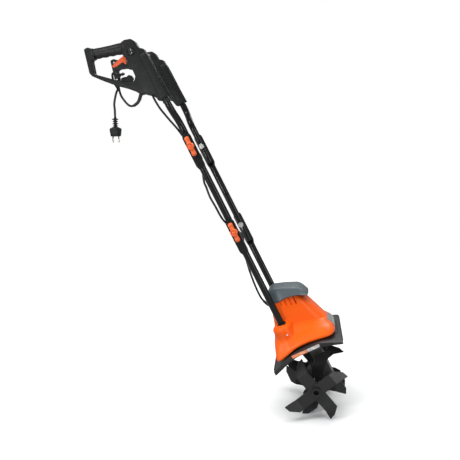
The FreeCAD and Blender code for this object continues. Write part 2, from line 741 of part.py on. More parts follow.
def bearings():
    pieces = []
    for index, name in enumerate(("foot_bearing", "fan_bearing", "top_bearing")):
        made = new_body(f"motor_bearing_{index}")
        upright(made, "Pad", dim(name), [(0, 0, "dims.bearing_dia / 2"),
                                         (0, 0, "dims.motor_shaft_dia / 2 + dims.play")],
                "dims.bearing_width")
        made.Placement = shift(dim("worm_axis"))
        pieces.append(made)
    return node(group("motor_bearings", pieces))


def axle_rings(label, start, length, outer):
    """A pair of rings round the output shaft, one on each side."""
    pieces = []
    for side in (RIGHT, LEFT):
        made = new_body(f"{label}_{side_name(side)}")
        y_top = -start if side == RIGHT else start + length
        slab(made, "Pad", y_top, f"{length}",
             rounds=[(0, 0, outer), (0, 0, "dims.shaft_dia / 2 + dims.play")])
        pieces.append(made)
    return node(group(label, pieces))


FLANGE_BOLTS = [(12, 32), (68, 32)]
BOLT_HOLE = "dims.flange_bolt_dia / 2 + 0.1"


def gearbox_half(side):
    """Half of the gearbox: a round chamber for the wheel, a column for the worm and a flange."""
    made = new_body("gearbox_" + side_name(side))
    axis = dim("worm_axis")

    def layer(kind, thickness, loops=(), rounds=()):
        y_top = 0 if side == RIGHT else size(thickness)
        slab(made, kind, y_top, thickness, loops, rounds)

    radius = dim("chamber_radius")
    chamber = [(radius * math.cos(a), radius * math.sin(a)) for a in
               (math.radians(60 + 15 * step) for step in range(17))]
    low = dim("flange_base")
    high = dim("flange_top")
    column = [(56, -radius), (60, 4 - radius), (60, low), (75, low), (75, high), (5, high), (5, low),
              (20, low), (20, 60)]
    layer("Pad", "dims.gearbox_half_width", [chamber + column])
    layer("Pad", "dims.flange_half", [rectangle(5, 75, low, high)])
    layer("Pocket", "dims.wheel_width / 2 + 2", rounds=[(0, 0, "dims.chamber_room")])
    layer("Pocket", "dims.flange_half", rounds=[(0, 0, "13")])
    # going down: hole for the shaft, seat of the fan-end bearing, room for the worm, foot bearing
    bores = [(high + 0.5, "6.5", "170"), (125, "dims.bearing_dia / 2", "dims.bearing_width"),
             (24, "13.5", "47.4"), (-23.5, "dims.bearing_dia / 2", "dims.bearing_width")]
    for top, bore, depth in bores:
        upright(made, "Pocket", top, [(axis, 0, bore)], depth)
    bolts = [(x, side * y, BOLT_HOLE) for x, y in FLANGE_BOLTS]
    upright(made, "Pocket", high + 0.5, bolts, "20")
    return node(made)


def both_sides(spots):
    """Spots (x, y) and the same ones on the other side of the middle."""
    return [(x, side * y) for side in (RIGHT, LEFT) for x, y in spots]


def gearbox_bolts():
    pieces = []
    for index, (x, y) in enumerate(both_sides(FLANGE_BOLTS)):
        name = f"gearbox_bolt_{index}"
        shank = cylinder(name + "_shank", "dims.flange_bolt_dia / 2", "23", shift(x, y, 128))
        head = cylinder(name + "_head", "5.5", "4", shift(x, y, 127.9))
        nut = cylinder(name + "_nut", "5.5", "4", shift(x, y, 147.3))
        pieces.append(fuse(name, [shank, head, nut]))
    return node(group("gearbox_bolts", pieces))


def motor_stator():
    at_axis = shift(dim("worm_axis"))
    base = dim("stator_base")
    core = new_body("stator_core")
    profile = sketch(core, "XY_Plane", base)
    circle(profile, 0, 0, "dims.stator_dia / 2")
    inner = []
    for index in range(72):
        angle = 2 * math.pi * index / 72
        radius = 26 if abs(math.cos(angle)) > math.cos(math.radians(52)) else 39
        inner.append((radius * math.cos(angle), radius * math.sin(angle)))
    polygon(profile, inner)
    feature(core, "Pad", profile, "dims.stator_height")
    node(core, at_axis)
    coils = []
    for index, middle in enumerate((90, 270)):
        made = new_body(f"field_coil_{index}")
        angles = [math.radians(middle - 32 + 8 * step) for step in range(9)]
        points = [(37 * math.cos(a), 37 * math.sin(a)) for a in angles]
        points += [(28 * math.cos(a), 28 * math.sin(a)) for a in reversed(angles)]
        loop = sketch(made, "XY_Plane", base - 4)
        polygon(loop, points)
        feature(made, "Pad", loop, "dims.stator_height + 12")
        made.Placement = at_axis
        coils.append(made)
    node(group("field_coils", coils))

    bracket = new_body("motor_bracket")
    upright(bracket, "Pad", base + dim("stator_height") + 0.2,
            [(0, 0, "dims.stator_dia / 2"), (0, 0, "39")], "44")
    upright(bracket, "Pad", dim("top_bearing"),
            [(0, 0, "dims.stator_dia / 2"), (0, 0, "dims.bearing_dia / 2")], "dims.bearing_width")
    ears = [(0, side * dim("post_spot"), "7") for side in (RIGHT, LEFT)]
    upright(bracket, "Pad", dim("top_bearing"), ears, "dims.bearing_width")
    window = sketch(bracket, "YZ_Plane")
    polygon(window, rectangle(-4, 4, 248, 262))
    cut(bracket, window, both_sides=True)
    node(bracket, at_axis)
    brushes = []
    for index, sign in enumerate((-1, 1)):
        place = shift(dim("worm_axis") + (12.2 if sign > 0 else -44.2), -4, 248)
        brushes.append(box(f"carbon_brush_{index}", "32", "8", "14", place))
    node(group("carbon_brushes", brushes))


def mounting_bracket():
    """Steel plate on the guard with the two tube sockets and the two motor posts."""
    made = new_body("mounting_bracket")
    base = dim("plate_base")
    plate = rectangle_sketch(made, base, (-45, 100, -115, 115))
    feature(made, "Pad", plate, "dims.plate_thick")
    top = base + dim("plate_thick")
    spots = [(dim("tube_line"), side * dim("track_half")) for side in (RIGHT, LEFT)]
    upright(made, "Pad", top, [(x, y, "dims.socket_dia / 2") for x, y in spots],
            "dims.socket_top - dims.plate_base - dims.plate_thick")
    posts = [(dim("worm_axis"), side * dim("post_spot"), "dims.post_dia / 2") for side in (RIGHT, LEFT)]
    upright(made, "Pad", top, posts, "dims.top_bearing - dims.plate_base - dims.plate_thick")
    upright(made, "Pocket", dim("socket_top"), [(x, y, "dims.tube_dia / 2") for x, y in spots],
            "dims.socket_top - dims.tube_foot")
    upright(made, "Pocket", top, [(dim("worm_axis"), 0, "14")], "dims.plate_thick * 2")
    upright(made, "Pocket", top, [(x, y, BOLT_HOLE) for x, y in both_sides(FLANGE_BOLTS)],
            "dims.plate_thick * 2")
    return node(made)


# ---------------------------------------------------------------- casings

HOOD_SIDE = [
    (-16, 302), (38, 302), (80, 294.5), (95, 275), (101, 272), (133, 196), (134, 148), (-67, 148),
    (-66, 158), (-56, 193), (-36, 224), (-37, 246), (-24, 270),
]
HOOD_INSIDE = [
    (-11, 305), (38, 305), (85, 300), (96, 273), (129, 195), (130, 151), (-62, 151), (-61, 158),
    (-51, 192), (-31, 224), (-32, 245), (-19, 269),
]
CAP_SIDE = [
    (-16, 302.3), (38, 302.3), (80, 294.8), (95, 275.3), (106, 276), (107, 303), (99, 325),
    (66, 344), (36, 355), (-6, 356), (-14, 350),
]
CAP_INSIDE = [
    (-12, 295), (84, 285), (97, 265), (102, 278), (103, 302), (96, 322), (64, 340), (35, 351),
    (-5, 352), (-10, 348),
]
GUARD_TOP = [(-91, 120), (-62, 130), (-38, 137), (8, 142), (78, 142), (108, 136), (149, 124)]
SCREW_HOLE = "dims.hood_screw_dia / 2 + 0.1"
COLLAR_BASE = 178
SKIRT_FOOT = (-69, 147)
SKIRT_HEAD = (-45, 131)
HOOD_SCREWS = both_sides([(-58, 125), (136, 125)])


def hood():
    """Orange hood: a narrow upper box and a flared skirt with two collars for the tubes."""
    made = new_body("hood")
    floor = dim("hood_floor")
    wide = dim("skirt_half")
    half = dim("hood_half")
    top = dim("skirt_top")
    slab(made, "Pad", half, "dims.hood_half * 2", [HOOD_SIDE])
    foot = rectangle_sketch(made, floor, (*SKIRT_FOOT, -wide, wide))
    head = rectangle_sketch(made, top, (*SKIRT_HEAD, -half, half))
    loft(made, "AdditiveLoft", foot, head)
    collars = [(dim("tube_line"), side * dim("track_half")) for side in (RIGHT, LEFT)]
    collar = "dims.collar_dia / 2"
    upright(made, "Pad", COLLAR_BASE, [(x, y, collar) for x, y in collars],
            f"dims.collar_top - {COLLAR_BASE}")
    slab(made, "Pocket", half - 3, "dims.hood_half * 2 - 6", [HOOD_INSIDE])
    inner_foot = rectangle_sketch(made, floor + 3.5,
                                  (SKIRT_FOOT[0] + 6, SKIRT_FOOT[1] - 6, 6 - wide, wide - 6))
    inner_head = rectangle_sketch(made, top - 4,
                                  (SKIRT_HEAD[0] + 5, SKIRT_HEAD[1] - 5, 3 - half, half - 3))
    loft(made, "SubtractiveLoft", inner_foot, inner_head)
    opening = rectangle_sketch(made, floor, (SKIRT_FOOT[0] + 20, SKIRT_FOOT[1] - 20, 20 - wide, wide - 20))
    cut(made, opening, "4", backward=True)
    upright(made, "Pocket", dim("collar_top") + 1, [(x, y, "dims.socket_dia / 2 + 0.2") for x, y in collars],
            "80")
    upright(made, "Pocket", floor + 8, [(x, y, SCREW_HOLE) for x, y in HOOD_SCREWS], "12")
    return node(made)


def motor_cap():
    made = new_body("motor_cap")
    slab(made, "Pad", dim("hood_half"), "dims.hood_half * 2", [CAP_SIDE])
    slab(made, "Pocket", dim("hood_half") - 3, "dims.hood_half * 2 - 6", [CAP_INSIDE])
    return node(made)


def tine_guard():
    """Arched deck over the tines with a turned-down lip all round."""
    made = new_body("tine_guard")
    half = dim("guard_half")
    lip = dim("guard_lip")
    thick = dim("guard_thick")
    under = [(x, z - lip) for x, z in reversed(GUARD_TOP)]
    slab(made, "Pad", half, "dims.guard_half * 2", [GUARD_TOP + under])
    room = [(x, z - thick) for x, z in GUARD_TOP]
    room[0] = (room[0][0] + thick, room[0][1])
    room[-1] = (room[-1][0] - thick, room[-1][1])
    deep = [(x, z - 2 * lip) for x, z in reversed(room)]
    slab(made, "Pocket", half - thick, "dims.guard_half * 2 - dims.guard_thick * 2", [room + deep])
    neck = rectangle_sketch(made, 150, (26, 54, -20, 20))
    cut(made, neck, "30")
    upright(made, "Pocket", 150, [(x, y, BOLT_HOLE) for x, y in both_sides(FLANGE_BOLTS)], "20")
    upright(made, "Pocket", 150, [(x, y, "dims.hood_screw_dia / 2") for x, y in HOOD_SCREWS], "30")
    return node(made)


def hood_screws():
    """Screws from under the guard, each with a spacer between the guard and the hood."""
    pieces = []
    for index, (x, y) in enumerate(HOOD_SCREWS):
        name = f"hood_screw_{index}"
        pieces.append(cylinder(name, "dims.hood_screw_dia / 2", "36", shift(x, y, 120)))
    return node(group("hood_screws", pieces))


def cable_gland():
    made = new_body("cable_gland")
    profile = sketch(made, "YZ_Plane", -34)
    circle(profile, -60, 286, "7.5")
    feature(made, "Pad", profile, "12")
    return node(made)


# ---------------------------------------------------------------- the whole machine

def build():
    hood()
    motor_cap()
    tine_guard()
    mounting_bracket()
    gearbox_half(RIGHT)
    gearbox_half(LEFT)
    gearbox_bolts()
    axle_rings("shaft_bushes", 10, 13, "13")
    axle_rings("shaft_seals", 24.2, 3, "14")
    bearings()
    motor_stator()
    node(group("lower_tubes", [lower_tube(RIGHT), lower_tube(LEFT)]))
    hood_screws()
    output_shaft()
    worm_wheel()
    node(box("shaft_key", "5", "dims.wheel_width", "5", shift(-2.5, -dim("wheel_width") / 2, 6.5)))
    tine_hubs()
    tine_stars("inner_blades", dim("inner_star"), dim("inner_turn"))
    tine_stars("outer_blades", dim("outer_star"), dim("outer_turn"))
    tine_pins()
    motor_shaft()
    rotor_parts()
    for side in (RIGHT, LEFT):
        name = side_name(side)
        node(middle_tube(side))
        node(upper_tube(side))
        carriage_bolt("bolt_lower_" + name, side, dim("joint_low"))
        carriage_bolt("bolt_upper_" + name, side, dim("joint_high"))
        wing_knob("knob_lower_" + name, side, dim("joint_low"))
        wing_knob("knob_upper_" + name, side, dim("joint_high"))
        handle_half(side, True)
        handle_half(side, False)
        handle_screws(side)
        grip(side)
    switch_lever()
    pin_start = -dim("grip_half") - dim("handle_thick") / 2 + dim("wall")
    node(cylinder("lever_pin", "dims.lever_pin_dia / 2", "dims.handle_thick - dims.wall * 2",
                  along_y(dim("lever_pivot_x"), pin_start, dim("lever_pivot_z"))))
    lock_button()
    switch_unit()
    right_cord()
    motor_cable()
    cable_gland()


def place_all():
    """Lean the machine back, then put the middle of its underside on the origin."""
    lean = shift(angle=-dim("lean_angle"))
    for made, local in nodes:
        made.Placement = lean * local
    doc.recompute()
    whole = FreeCAD.BoundBox()
    for made, _ in nodes:
        whole.add(made.Shape.optimalBoundingBox(True, False))
    move = shift(-whole.Center.x, -whole.Center.y, -whole.ZMin)
    for made, local in nodes:
        made.Placement = move * lean * local
    doc.recompute()


def check_and_write():
    for item in doc.Objects:
        if "Invalid" in item.State or "Error" in item.State:
            raise RuntimeError(f"{item.Name} failed")
    os.makedirs("parts", exist_ok=True)
    for made, _ in nodes:
        if made.Shape.isNull() or not made.Shape.isValid():
            raise RuntimeError(f"{made.Label} has no valid shape")
        made.Shape.exportStep(f"parts/{made.Label}.step")


build()
place_all()
check_and_write()
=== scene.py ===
"""Looks of the electric tiller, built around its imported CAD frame.

Shapes are drawn in millimetres in the machine's own frame: u forward, y to the operator's
left, w up along the handle tubes, with the origin on the axle of the tines.
"""
import json
import math

import bmesh
import bpy
from mathutils import Matrix, Vector


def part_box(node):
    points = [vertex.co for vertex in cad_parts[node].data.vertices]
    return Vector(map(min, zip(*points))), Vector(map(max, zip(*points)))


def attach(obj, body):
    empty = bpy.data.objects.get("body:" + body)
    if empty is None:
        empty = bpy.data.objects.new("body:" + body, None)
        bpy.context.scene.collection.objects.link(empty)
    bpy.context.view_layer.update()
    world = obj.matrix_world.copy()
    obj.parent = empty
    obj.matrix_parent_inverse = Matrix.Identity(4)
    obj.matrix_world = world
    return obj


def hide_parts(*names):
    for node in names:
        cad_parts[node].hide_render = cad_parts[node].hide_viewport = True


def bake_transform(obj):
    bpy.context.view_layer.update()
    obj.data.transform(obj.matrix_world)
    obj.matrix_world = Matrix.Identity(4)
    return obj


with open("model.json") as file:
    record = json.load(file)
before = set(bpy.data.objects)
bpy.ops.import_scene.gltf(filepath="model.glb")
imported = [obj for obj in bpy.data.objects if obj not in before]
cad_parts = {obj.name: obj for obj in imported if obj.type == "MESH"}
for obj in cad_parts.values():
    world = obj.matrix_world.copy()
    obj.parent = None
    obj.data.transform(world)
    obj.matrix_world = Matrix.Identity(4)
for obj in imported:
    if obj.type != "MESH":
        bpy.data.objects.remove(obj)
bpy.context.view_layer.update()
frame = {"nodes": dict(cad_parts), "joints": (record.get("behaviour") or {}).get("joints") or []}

MM = 0.001
RIGHT = -1
LEFT = 1
TRACK = 95          # tubes from the middle of the machine
GRIPS = 130         # handles from the middle of the machine
TUBE_U = -10
JOINT_LOW = 574
JOINT_HIGH = 880


def axle_centre():
    low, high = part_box("output_shaft")
    centre = (low + high) / 2
    centre.y = 0
    return centre


AXLE = axle_centre()
UP = Vector(next(j["axis"] for j in frame["joints"] if j["name"] == "motor_spin")).normalized()
SIDE = Vector((0, 1, 0))
FORWARD = SIDE.cross(UP)
MACHINE = Matrix.Translation(AXLE) @ Matrix((FORWARD, SIDE, UP)).transposed().to_4x4() @ Matrix.Scale(MM, 4)
LEAN = math.atan2(-UP.x, UP.z)


def hanging(x, y, z):
    """A point given in level axes through the axle, as u, y, w."""
    return (x * math.cos(LEAN) + z * math.sin(LEAN), y, z * math.cos(LEAN) - x * math.sin(LEAN))


def smoothstep(low, high, value):
    part = min(1.0, max(0.0, (value - low) / (high - low)))
    return part * part * (3 - 2 * part)


def between(table, value):
    """Smooth value of a table of (position, number) rows, sorted by position."""
    if value <= table[0][0]:
        return table[0][1]
    for (a, x), (b, y) in zip(table, table[1:]):
        if value <= b:
            return x + (y - x) * (value - a) / (b - a)
    return table[-1][1]


# ---------------------------------------------------------------- materials

def socket(node, name):
    return node.inputs[name]


class Shader:
    """A small builder of procedural node materials."""

    def __init__(self, name):
        self.material = bpy.data.materials.new(name)
        self.material.use_nodes = True
        self.tree = self.material.node_tree
        self.surface = self.tree.nodes["Principled BSDF"]
        self.place = self.tree.nodes.new("ShaderNodeTexCoord").outputs["Object"]

    def node(self, kind, **inputs):
        made = self.tree.nodes.new("ShaderNode" + kind)
        for name, value in inputs.items():
            self.feed(made.inputs[name.replace("_", " ")], value)
        return made

    def feed(self, target, value):
        if isinstance(value, bpy.types.NodeSocket):
            self.tree.links.new(value, target)
        else:
            target.default_value = value

    def noise(self, scale, detail=3.0, stretch=(1, 1, 1)):
        mapped = self.node("Mapping", Vector=self.place, Scale=stretch)
        made = self.node("TexNoise", Vector=mapped.outputs[0], Scale=scale, Detail=detail)
        return made.outputs["Fac"]

    def cells(self, scale):
        return self.node("TexVoronoi", Vector=self.place, Scale=scale).outputs["Distance"]

    def ramp(self, value, low, high, out_low=0.0, out_high=1.0):
        made = self.tree.nodes.new("ShaderNodeMapRange")
        for name, number in (("From Min", low), ("From Max", high), ("To Min", out_low), ("To Max", out_high)):
            made.inputs[name].default_value = number
        self.feed(made.inputs["Value"], value)
        return made.outputs[0]

    def mix(self, factor, first, second):
        made = self.tree.nodes.new("ShaderNodeMix")
        made.data_type = "RGBA"
        self.feed(made.inputs[0], factor)
        self.feed(made.inputs[6], first)
        self.feed(made.inputs[7], second)
        return made.outputs[2]

    def math(self, operation, first, second):
        made = self.tree.nodes.new("ShaderNodeMath")
        made.operation = operation
        self.feed(made.inputs[0], first)
        self.feed(made.inputs[1], second)
        return made.outputs[0]

    def bump(self, height, strength, distance=0.0004, below=None):
        made = self.node("Bump", Height=height, Strength=strength, Distance=distance)
        if below is not None:
            self.feed(made.inputs["Normal"], below)
        return made.outputs[0]

    def edges(self):
        """Share of wear on convex edges."""
        pointed = self.tree.nodes.new("ShaderNodeNewGeometry").outputs["Pointiness"]
        return self.ramp(pointed, 0.6, 0.74)

    def set(self, **inputs):
        names = {"color": "Base Color", "rough": "Roughness", "metal": "Metallic", "normal": "Normal",
                 "coat": "Coat Weight", "coat_rough": "Coat Roughness", "specular": "Specular IOR Level"}
        for name, value in inputs.items():
            self.feed(self.surface.inputs[names[name]], value)
        return self.material


def shade(color, factor):
    return tuple(channel * factor for channel in color[:3]) + (1,)


def moulded(name, color, rough=0.42, grain=0.25, variation=0.12, worn=1.25, scale=1400, coat=0.0, specular=0.4):
    """Injection-moulded plastic: fine spark-eroded grain, faint clouding and rubbed edges."""
    s = Shader(name)
    cloud = s.ramp(s.noise(9, 4), 0.3, 0.7)
    fine = s.noise(scale, 2)
    base = s.mix(cloud, shade(color, 1 - variation), shade(color, 1 + variation * 0.5))
    base = s.mix(s.math("MULTIPLY", s.edges(), s.noise(160, 4)), base, shade(color, worn))
    uneven = s.ramp(s.noise(45, 5), 0.25, 0.75, rough - 0.05, rough + 0.09)
    bumps = s.bump(fine, grain, 0.00025, s.bump(s.noise(28, 2), 0.06, 0.002))
    return s.set(color=base, rough=uneven, normal=bumps, coat=coat, coat_rough=0.25, specular=specular)


def painted(name, color, rough=0.3, chips=(0.3, 0.3, 0.29), peel=0.12, coat=0.3, worn=(0.42, 0.5), specular=0.5):
    """Powder coat: orange peel, slight dust and bare spots on the sharpest edges."""
    s = Shader(name)
    cloud = s.ramp(s.noise(14, 5), 0.35, 0.7)
    base = s.mix(cloud, shade(color, 0.85), shade(color, 1.2))
    chipped = s.ramp(s.math("MULTIPLY", s.edges(), s.noise(220, 5)), *worn)
    base = s.mix(chipped, base, (*chips, 1))
    uneven = s.ramp(s.noise(60, 4), 0.3, 0.7, rough - 0.05, rough + 0.1)
    bumps = s.bump(s.noise(420, 3), peel, 0.0003, s.bump(s.noise(60, 2), 0.04, 0.001))
    return s.set(color=base, rough=uneven, normal=bumps, coat=coat, coat_rough=0.12, specular=specular,
                 metal=s.math("MULTIPLY", chipped, 0.8))


def metal(name, color, rough=0.3, brushed=(1, 1, 1), tarnish=0.25):
    """Bare or plated metal with directional polish marks and dull patches."""
    s = Shader(name)
    dull = s.ramp(s.noise(30, 5), 0.35, 0.7)
    base = s.mix(dull, shade(color, 1 - tarnish), (*color, 1))
    marks = s.noise(700, 2, brushed)
    uneven = s.ramp(marks, 0.2, 0.8, rough * 0.7, rough * 1.4)
    return s.set(color=base, rough=uneven, metal=1.0, normal=s.bump(marks, 0.1, 0.0002))


def rubber(name, color, rough=0.6, scale=1800, bloom=1.7):
    """Soft moulded rubber with a dusty bloom."""
    s = Shader(name)
    dusty = s.ramp(s.noise(25, 5), 0.4, 0.75)
    base = s.mix(dusty, (*color, 1), shade(color, bloom))
    uneven = s.ramp(s.noise(90, 3), 0.3, 0.7, rough - 0.07, rough + 0.1)
    return s.set(color=base, rough=uneven, normal=s.bump(s.noise(scale, 2), 0.2, 0.0002))


def label(name, paper, ink, rows):
    """A sticker with plain bars and boxes that carry no words."""
    s = Shader(name)
    brick = s.tree.nodes.new("ShaderNodeTexBrick")
    s.feed(brick.inputs["Vector"], s.node("Mapping", Vector=s.place, Rotation=(math.pi / 2, 0, 0)).outputs[0])
    for key, value in (("Scale", rows), ("Mortar Size", 0.03), ("Row Height", 0.3), ("Brick Width", 0.8)):
        brick.inputs[key].default_value = value
    brick.inputs["Color1"].default_value = (*ink, 1)
    brick.inputs["Color2"].default_value = (*paper, 1)
    brick.inputs["Mortar"].default_value = (*paper, 1)
    base = s.mix(s.ramp(s.noise(60, 3), 0.4, 0.7, 0, 0.25), brick.outputs["Color"], (*paper, 1))
    return s.set(color=base, rough=s.ramp(s.noise(50, 3), 0.3, 0.7, 0.25, 0.4), normal=s.bump(s.noise(300, 2), 0.05))


ORANGE = (0.93, 0.118, 0.004)
M = {
    "hood": moulded("hood_orange", ORANGE, rough=0.34, grain=0.1, variation=0.06, worn=1.1, coat=0.06, specular=0.25),
    "knob": moulded("knob_orange", (0.88, 0.145, 0.03), rough=0.33, grain=0.12, worn=1.15, coat=0.2),
    "lever": moulded("lever_orange", (0.8, 0.11, 0.025), rough=0.35, grain=0.12, worn=1.15),
    "cap": moulded("cap_grey", (0.068, 0.089, 0.098), rough=0.4, grain=0.25),
    "guard": moulded("guard_grey", (0.021, 0.022, 0.0225), rough=0.4, grain=0.3, worn=1.6, specular=0.3),
    "gearbox": painted("gearbox_grey", (0.06, 0.058, 0.053), rough=0.42, peel=0.3),
    "tine": painted("tine_coat", (0.019, 0.019, 0.0195), rough=0.33, chips=(0.42, 0.41, 0.39), coat=0.2, specular=0.35),
    "tube": painted("tube_coat", (0.005, 0.005, 0.0055), rough=0.16, chips=(0.05, 0.05, 0.05), peel=0.03, coat=0.4,
                    worn=(0.8, 1.0), specular=0.2),
    "handle": moulded("handle_black", (0.0095, 0.0102, 0.0102), rough=0.42, grain=0.35, worn=1.9, specular=0.3),
    "grip": rubber("grip_black", (0.0075, 0.0075, 0.008), 0.45, bloom=1.5),
    "gloss": moulded("button_gloss", (0.02, 0.02, 0.02), rough=0.12, grain=0.03, coat=0.8),
    "cable": rubber("cable_black", (0.011, 0.011, 0.012), rough=0.42),
    "dark": rubber("inner_black", (0.006, 0.006, 0.006), rough=0.75),
    "zinc": metal("zinc_plate", (0.62, 0.62, 0.6), 0.28),
    "nickel": metal("nickel_plate", (0.78, 0.76, 0.7), 0.16),
    "steel": metal("bare_steel", (0.5, 0.5, 0.5), 0.3, (1, 8, 1)),
    "oiled": metal("oiled_steel", (0.035, 0.034, 0.032), 0.5),
    "lamination": metal("lamination", (0.2, 0.2, 0.21), 0.45, (1, 1, 14)),
    "copper": metal("copper_wire", (0.72, 0.33, 0.17), 0.28),
    "bronze": metal("bronze", (0.6, 0.42, 0.2), 0.35),
    "carbon": rubber("pressed_carbon", (0.02, 0.02, 0.02), 0.7),
    "glass_nylon": moulded("glass_nylon", (0.05, 0.05, 0.05), rough=0.5),
    "label_orange": label("label_orange", (0.82, 0.2, 0.07), (0.88, 0.42, 0.25), 26),
    "label_white": label("label_white", (0.72, 0.7, 0.68), (0.32, 0.31, 0.32), 60),
}

NODE_LOOKS = {
    "hood": ["hood"], "cap": ["motor_cap"], "guard": ["tine_guard"],
    "gearbox": ["gearbox_right", "gearbox_left"],
    "tine": ["tine_hubs", "inner_blades", "outer_blades"],
    "tube": ["lower_tubes", "middle_tube_right", "middle_tube_left", "upper_tube_right", "upper_tube_left"],
    "handle": ["handle_right_outer", "handle_right_inner", "handle_left_outer", "handle_left_inner"],
    "grip": ["grip_right", "grip_left"],
    "knob": ["knob_lower_right", "knob_lower_left", "knob_upper_right", "knob_upper_left"],
    "lever": ["switch_lever"], "gloss": ["lock_button", "switch_unit"],
    "cable": ["cable_upper", "cable_middle", "cable_lower", "power_cord", "cord_boot", "mains_plug",
              "cable_clip", "cable_gland"],
    "zinc": ["hood_screws", "bolt_lower_right", "bolt_lower_left", "bolt_upper_right", "bolt_upper_left",
             "gearbox_bolts", "handle_screws_right", "handle_screws_left", "tine_pins",
             "lever_pin", "mounting_bracket"],
    "nickel": ["plug_pins"],
    "oiled": ["output_shaft"],
    "steel": ["motor_shaft", "shaft_key", "motor_bearings"],
    "lamination": ["stator_core", "armature_core"],
    "copper": ["field_coils", "commutator"],
    "bronze": ["worm_wheel", "shaft_bushes"],
    "dark": ["shaft_seals"], "carbon": ["carbon_brushes"],
    "glass_nylon": ["motor_bracket", "cooling_fan"],
}


def dress_nodes():
    """Every CAD node gets its finish; sharp edges of the painted and plated ones are broken slightly."""
    rounded = {"tine": 0.0009, "tube": 0.0006, "gearbox": 0.0012, "zinc": 0.0005, "nickel": 0.0006}
    for look, names in NODE_LOOKS.items():
        for name in names:
            made = frame["nodes"][name]
            made.data.materials.clear()
            made.data.materials.append(M[look])
            if look in rounded:
                weld = made.modifiers.new("weld", "WELD")
                weld.merge_threshold = 0.00002
                bevel = made.modifiers.new("broken_edges", "BEVEL")
                bevel.width = rounded[look]
                bevel.segments = 2
                bevel.limit_method = "ANGLE"
                bevel.angle_limit = math.radians(40)
                bevel.harden_normals = False


# ---------------------------------------------------------------- mesh helpers

def mark_sharp(bm, degrees):
    for face in bm.faces:
        face.smooth = True
    for edge in bm.edges:
        if len(edge.link_faces) == 2 and edge.calc_face_angle(0) > math.radians(degrees):
            edge.smooth = False


def piece(name, bm, look, body=None, stands_for=(), subdivide=0, sharp=35, place=MACHINE):
    """Turn a mesh in machine millimetres into a piece that rides on a body."""
    bmesh.ops.remove_doubles(bm, verts=bm.verts, dist=0.002)
    bmesh.ops.recalc_face_normals(bm, faces=bm.faces)
    mark_sharp(bm, sharp)
    bm.transform(place)
    mesh = bpy.data.meshes.new(name)
    bm.to_mesh(mesh)
    bm.free()
    mesh.materials.append(M[look])
    made = bpy.data.objects.new(name, mesh)
    bpy.context.scene.collection.objects.link(made)
    if subdivide:
        modifier = made.modifiers.new("subdivision", "SUBSURF")
        modifier.levels = subdivide
        modifier.render_levels = subdivide
    if body:
        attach(made, body)
    if stands_for:
        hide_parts(*stands_for)
    return made


def skin(bm, rings, ends=(True, True), closed=True):
    """Faces between successive rings of points, with flat ends."""
    rows = [[bm.verts.new(point) for point in ring] for ring in rings]
    count = len(rows[0])
    for low, high in zip(rows, rows[1:]):
        for index in range(count if closed else count - 1):
            after = (index + 1) % count
            bm.faces.new((low[index], low[after], high[after], high[index]))
    if ends[0]:
        bm.faces.new(rows[0][::-1])
    if ends[1]:
        bm.faces.new(rows[-1])
    return rows


def curve_points(points, step=4.0):
    """Evenly spaced points of a smooth curve through the given ones."""
    knots = [Vector(p) for p in points]
    knots = [2 * knots[0] - knots[1]] + knots + [2 * knots[-1] - knots[-2]]
    dense = []
    for a, b, c, d in zip(knots, knots[1:], knots[2:], knots[3:]):
        parts = max(2, int((c - b).length / step))
        for index in range(parts):
            t = index / parts
            dense.append(0.5 * ((2 * b) + (c - a) * t + (2 * a - 5 * b + 4 * c - d) * t * t
                                + (3 * b - a - 3 * c + d) * t ** 3))
    dense.append(knots[-2])
    return dense


def sweep(bm, points, radius, sides=16, step=4.0, squash=1.0):
    """A round lead along a curve; radius is a number or a function of the length so far."""
    line = curve_points(points, step)
    reach = 0.0
    across = (line[1] - line[0]).orthogonal().normalized()
    rings = []
    for index, point in enumerate(line):
        before = line[max(index - 1, 0)]
        after = line[min(index + 1, len(line) - 1)]
        along = (after - before).normalized()
        across = (across - along * across.dot(along)).normalized()
        other = along.cross(across)
        if index:
            reach += (point - line[index - 1]).length
        size = radius(reach) if callable(radius) else radius
        ring = []
        for corner in range(sides):
            angle = 2 * math.pi * corner / sides
            ring.append(point + across * math.cos(angle) * size + other * math.sin(angle) * size * squash)
        rings.append(ring)
    skin(bm, rings)
    return line


def lathe(bm, profile, centre, axis, sides=32):
    """Turn a profile of (radius, height) rows about an axis through centre."""
    along = Vector(axis).normalized()
    across = along.orthogonal().normalized()
    other = along.cross(across)
    rings = []
    for radius, height in profile:
        middle = Vector(centre) + along * height
        rings.append([middle + (across * math.cos(2 * math.pi * k / sides)
                                + other * math.sin(2 * math.pi * k / sides)) * max(radius, 0.01)
                      for k in range(sides)])
    skin(bm, rings)


def rounded(points, radius, steps=5):
    """A closed outline with its corners rounded; radius is a number or one per corner."""
    made = []
    count = len(points)
    for index, corner in enumerate(points):
        here = Vector(corner)
        before = Vector(points[index - 1]) - here
        after = Vector(points[(index + 1) % count]) - here
        wanted = radius[index] if isinstance(radius, (list, tuple)) else radius
        half = before.angle(after) / 2
        trim = min(wanted / math.tan(half), before.length * 0.49, after.length * 0.49)
        if wanted <= 0 or trim < 0.05:
            made.append(tuple(here))
            continue
        start = here + before.normalized() * trim
        end = here + after.normalized() * trim
        for part in range(steps + 1):
            t = part / steps
            made.append(tuple(start * (1 - t) ** 2 + here * 2 * t * (1 - t) + end * t * t))
    return made


def signed_area(loop):
    return sum(a[0] * b[1] - b[0] * a[1] for a, b in zip(loop, loop[1:] + loop[:1])) / 2


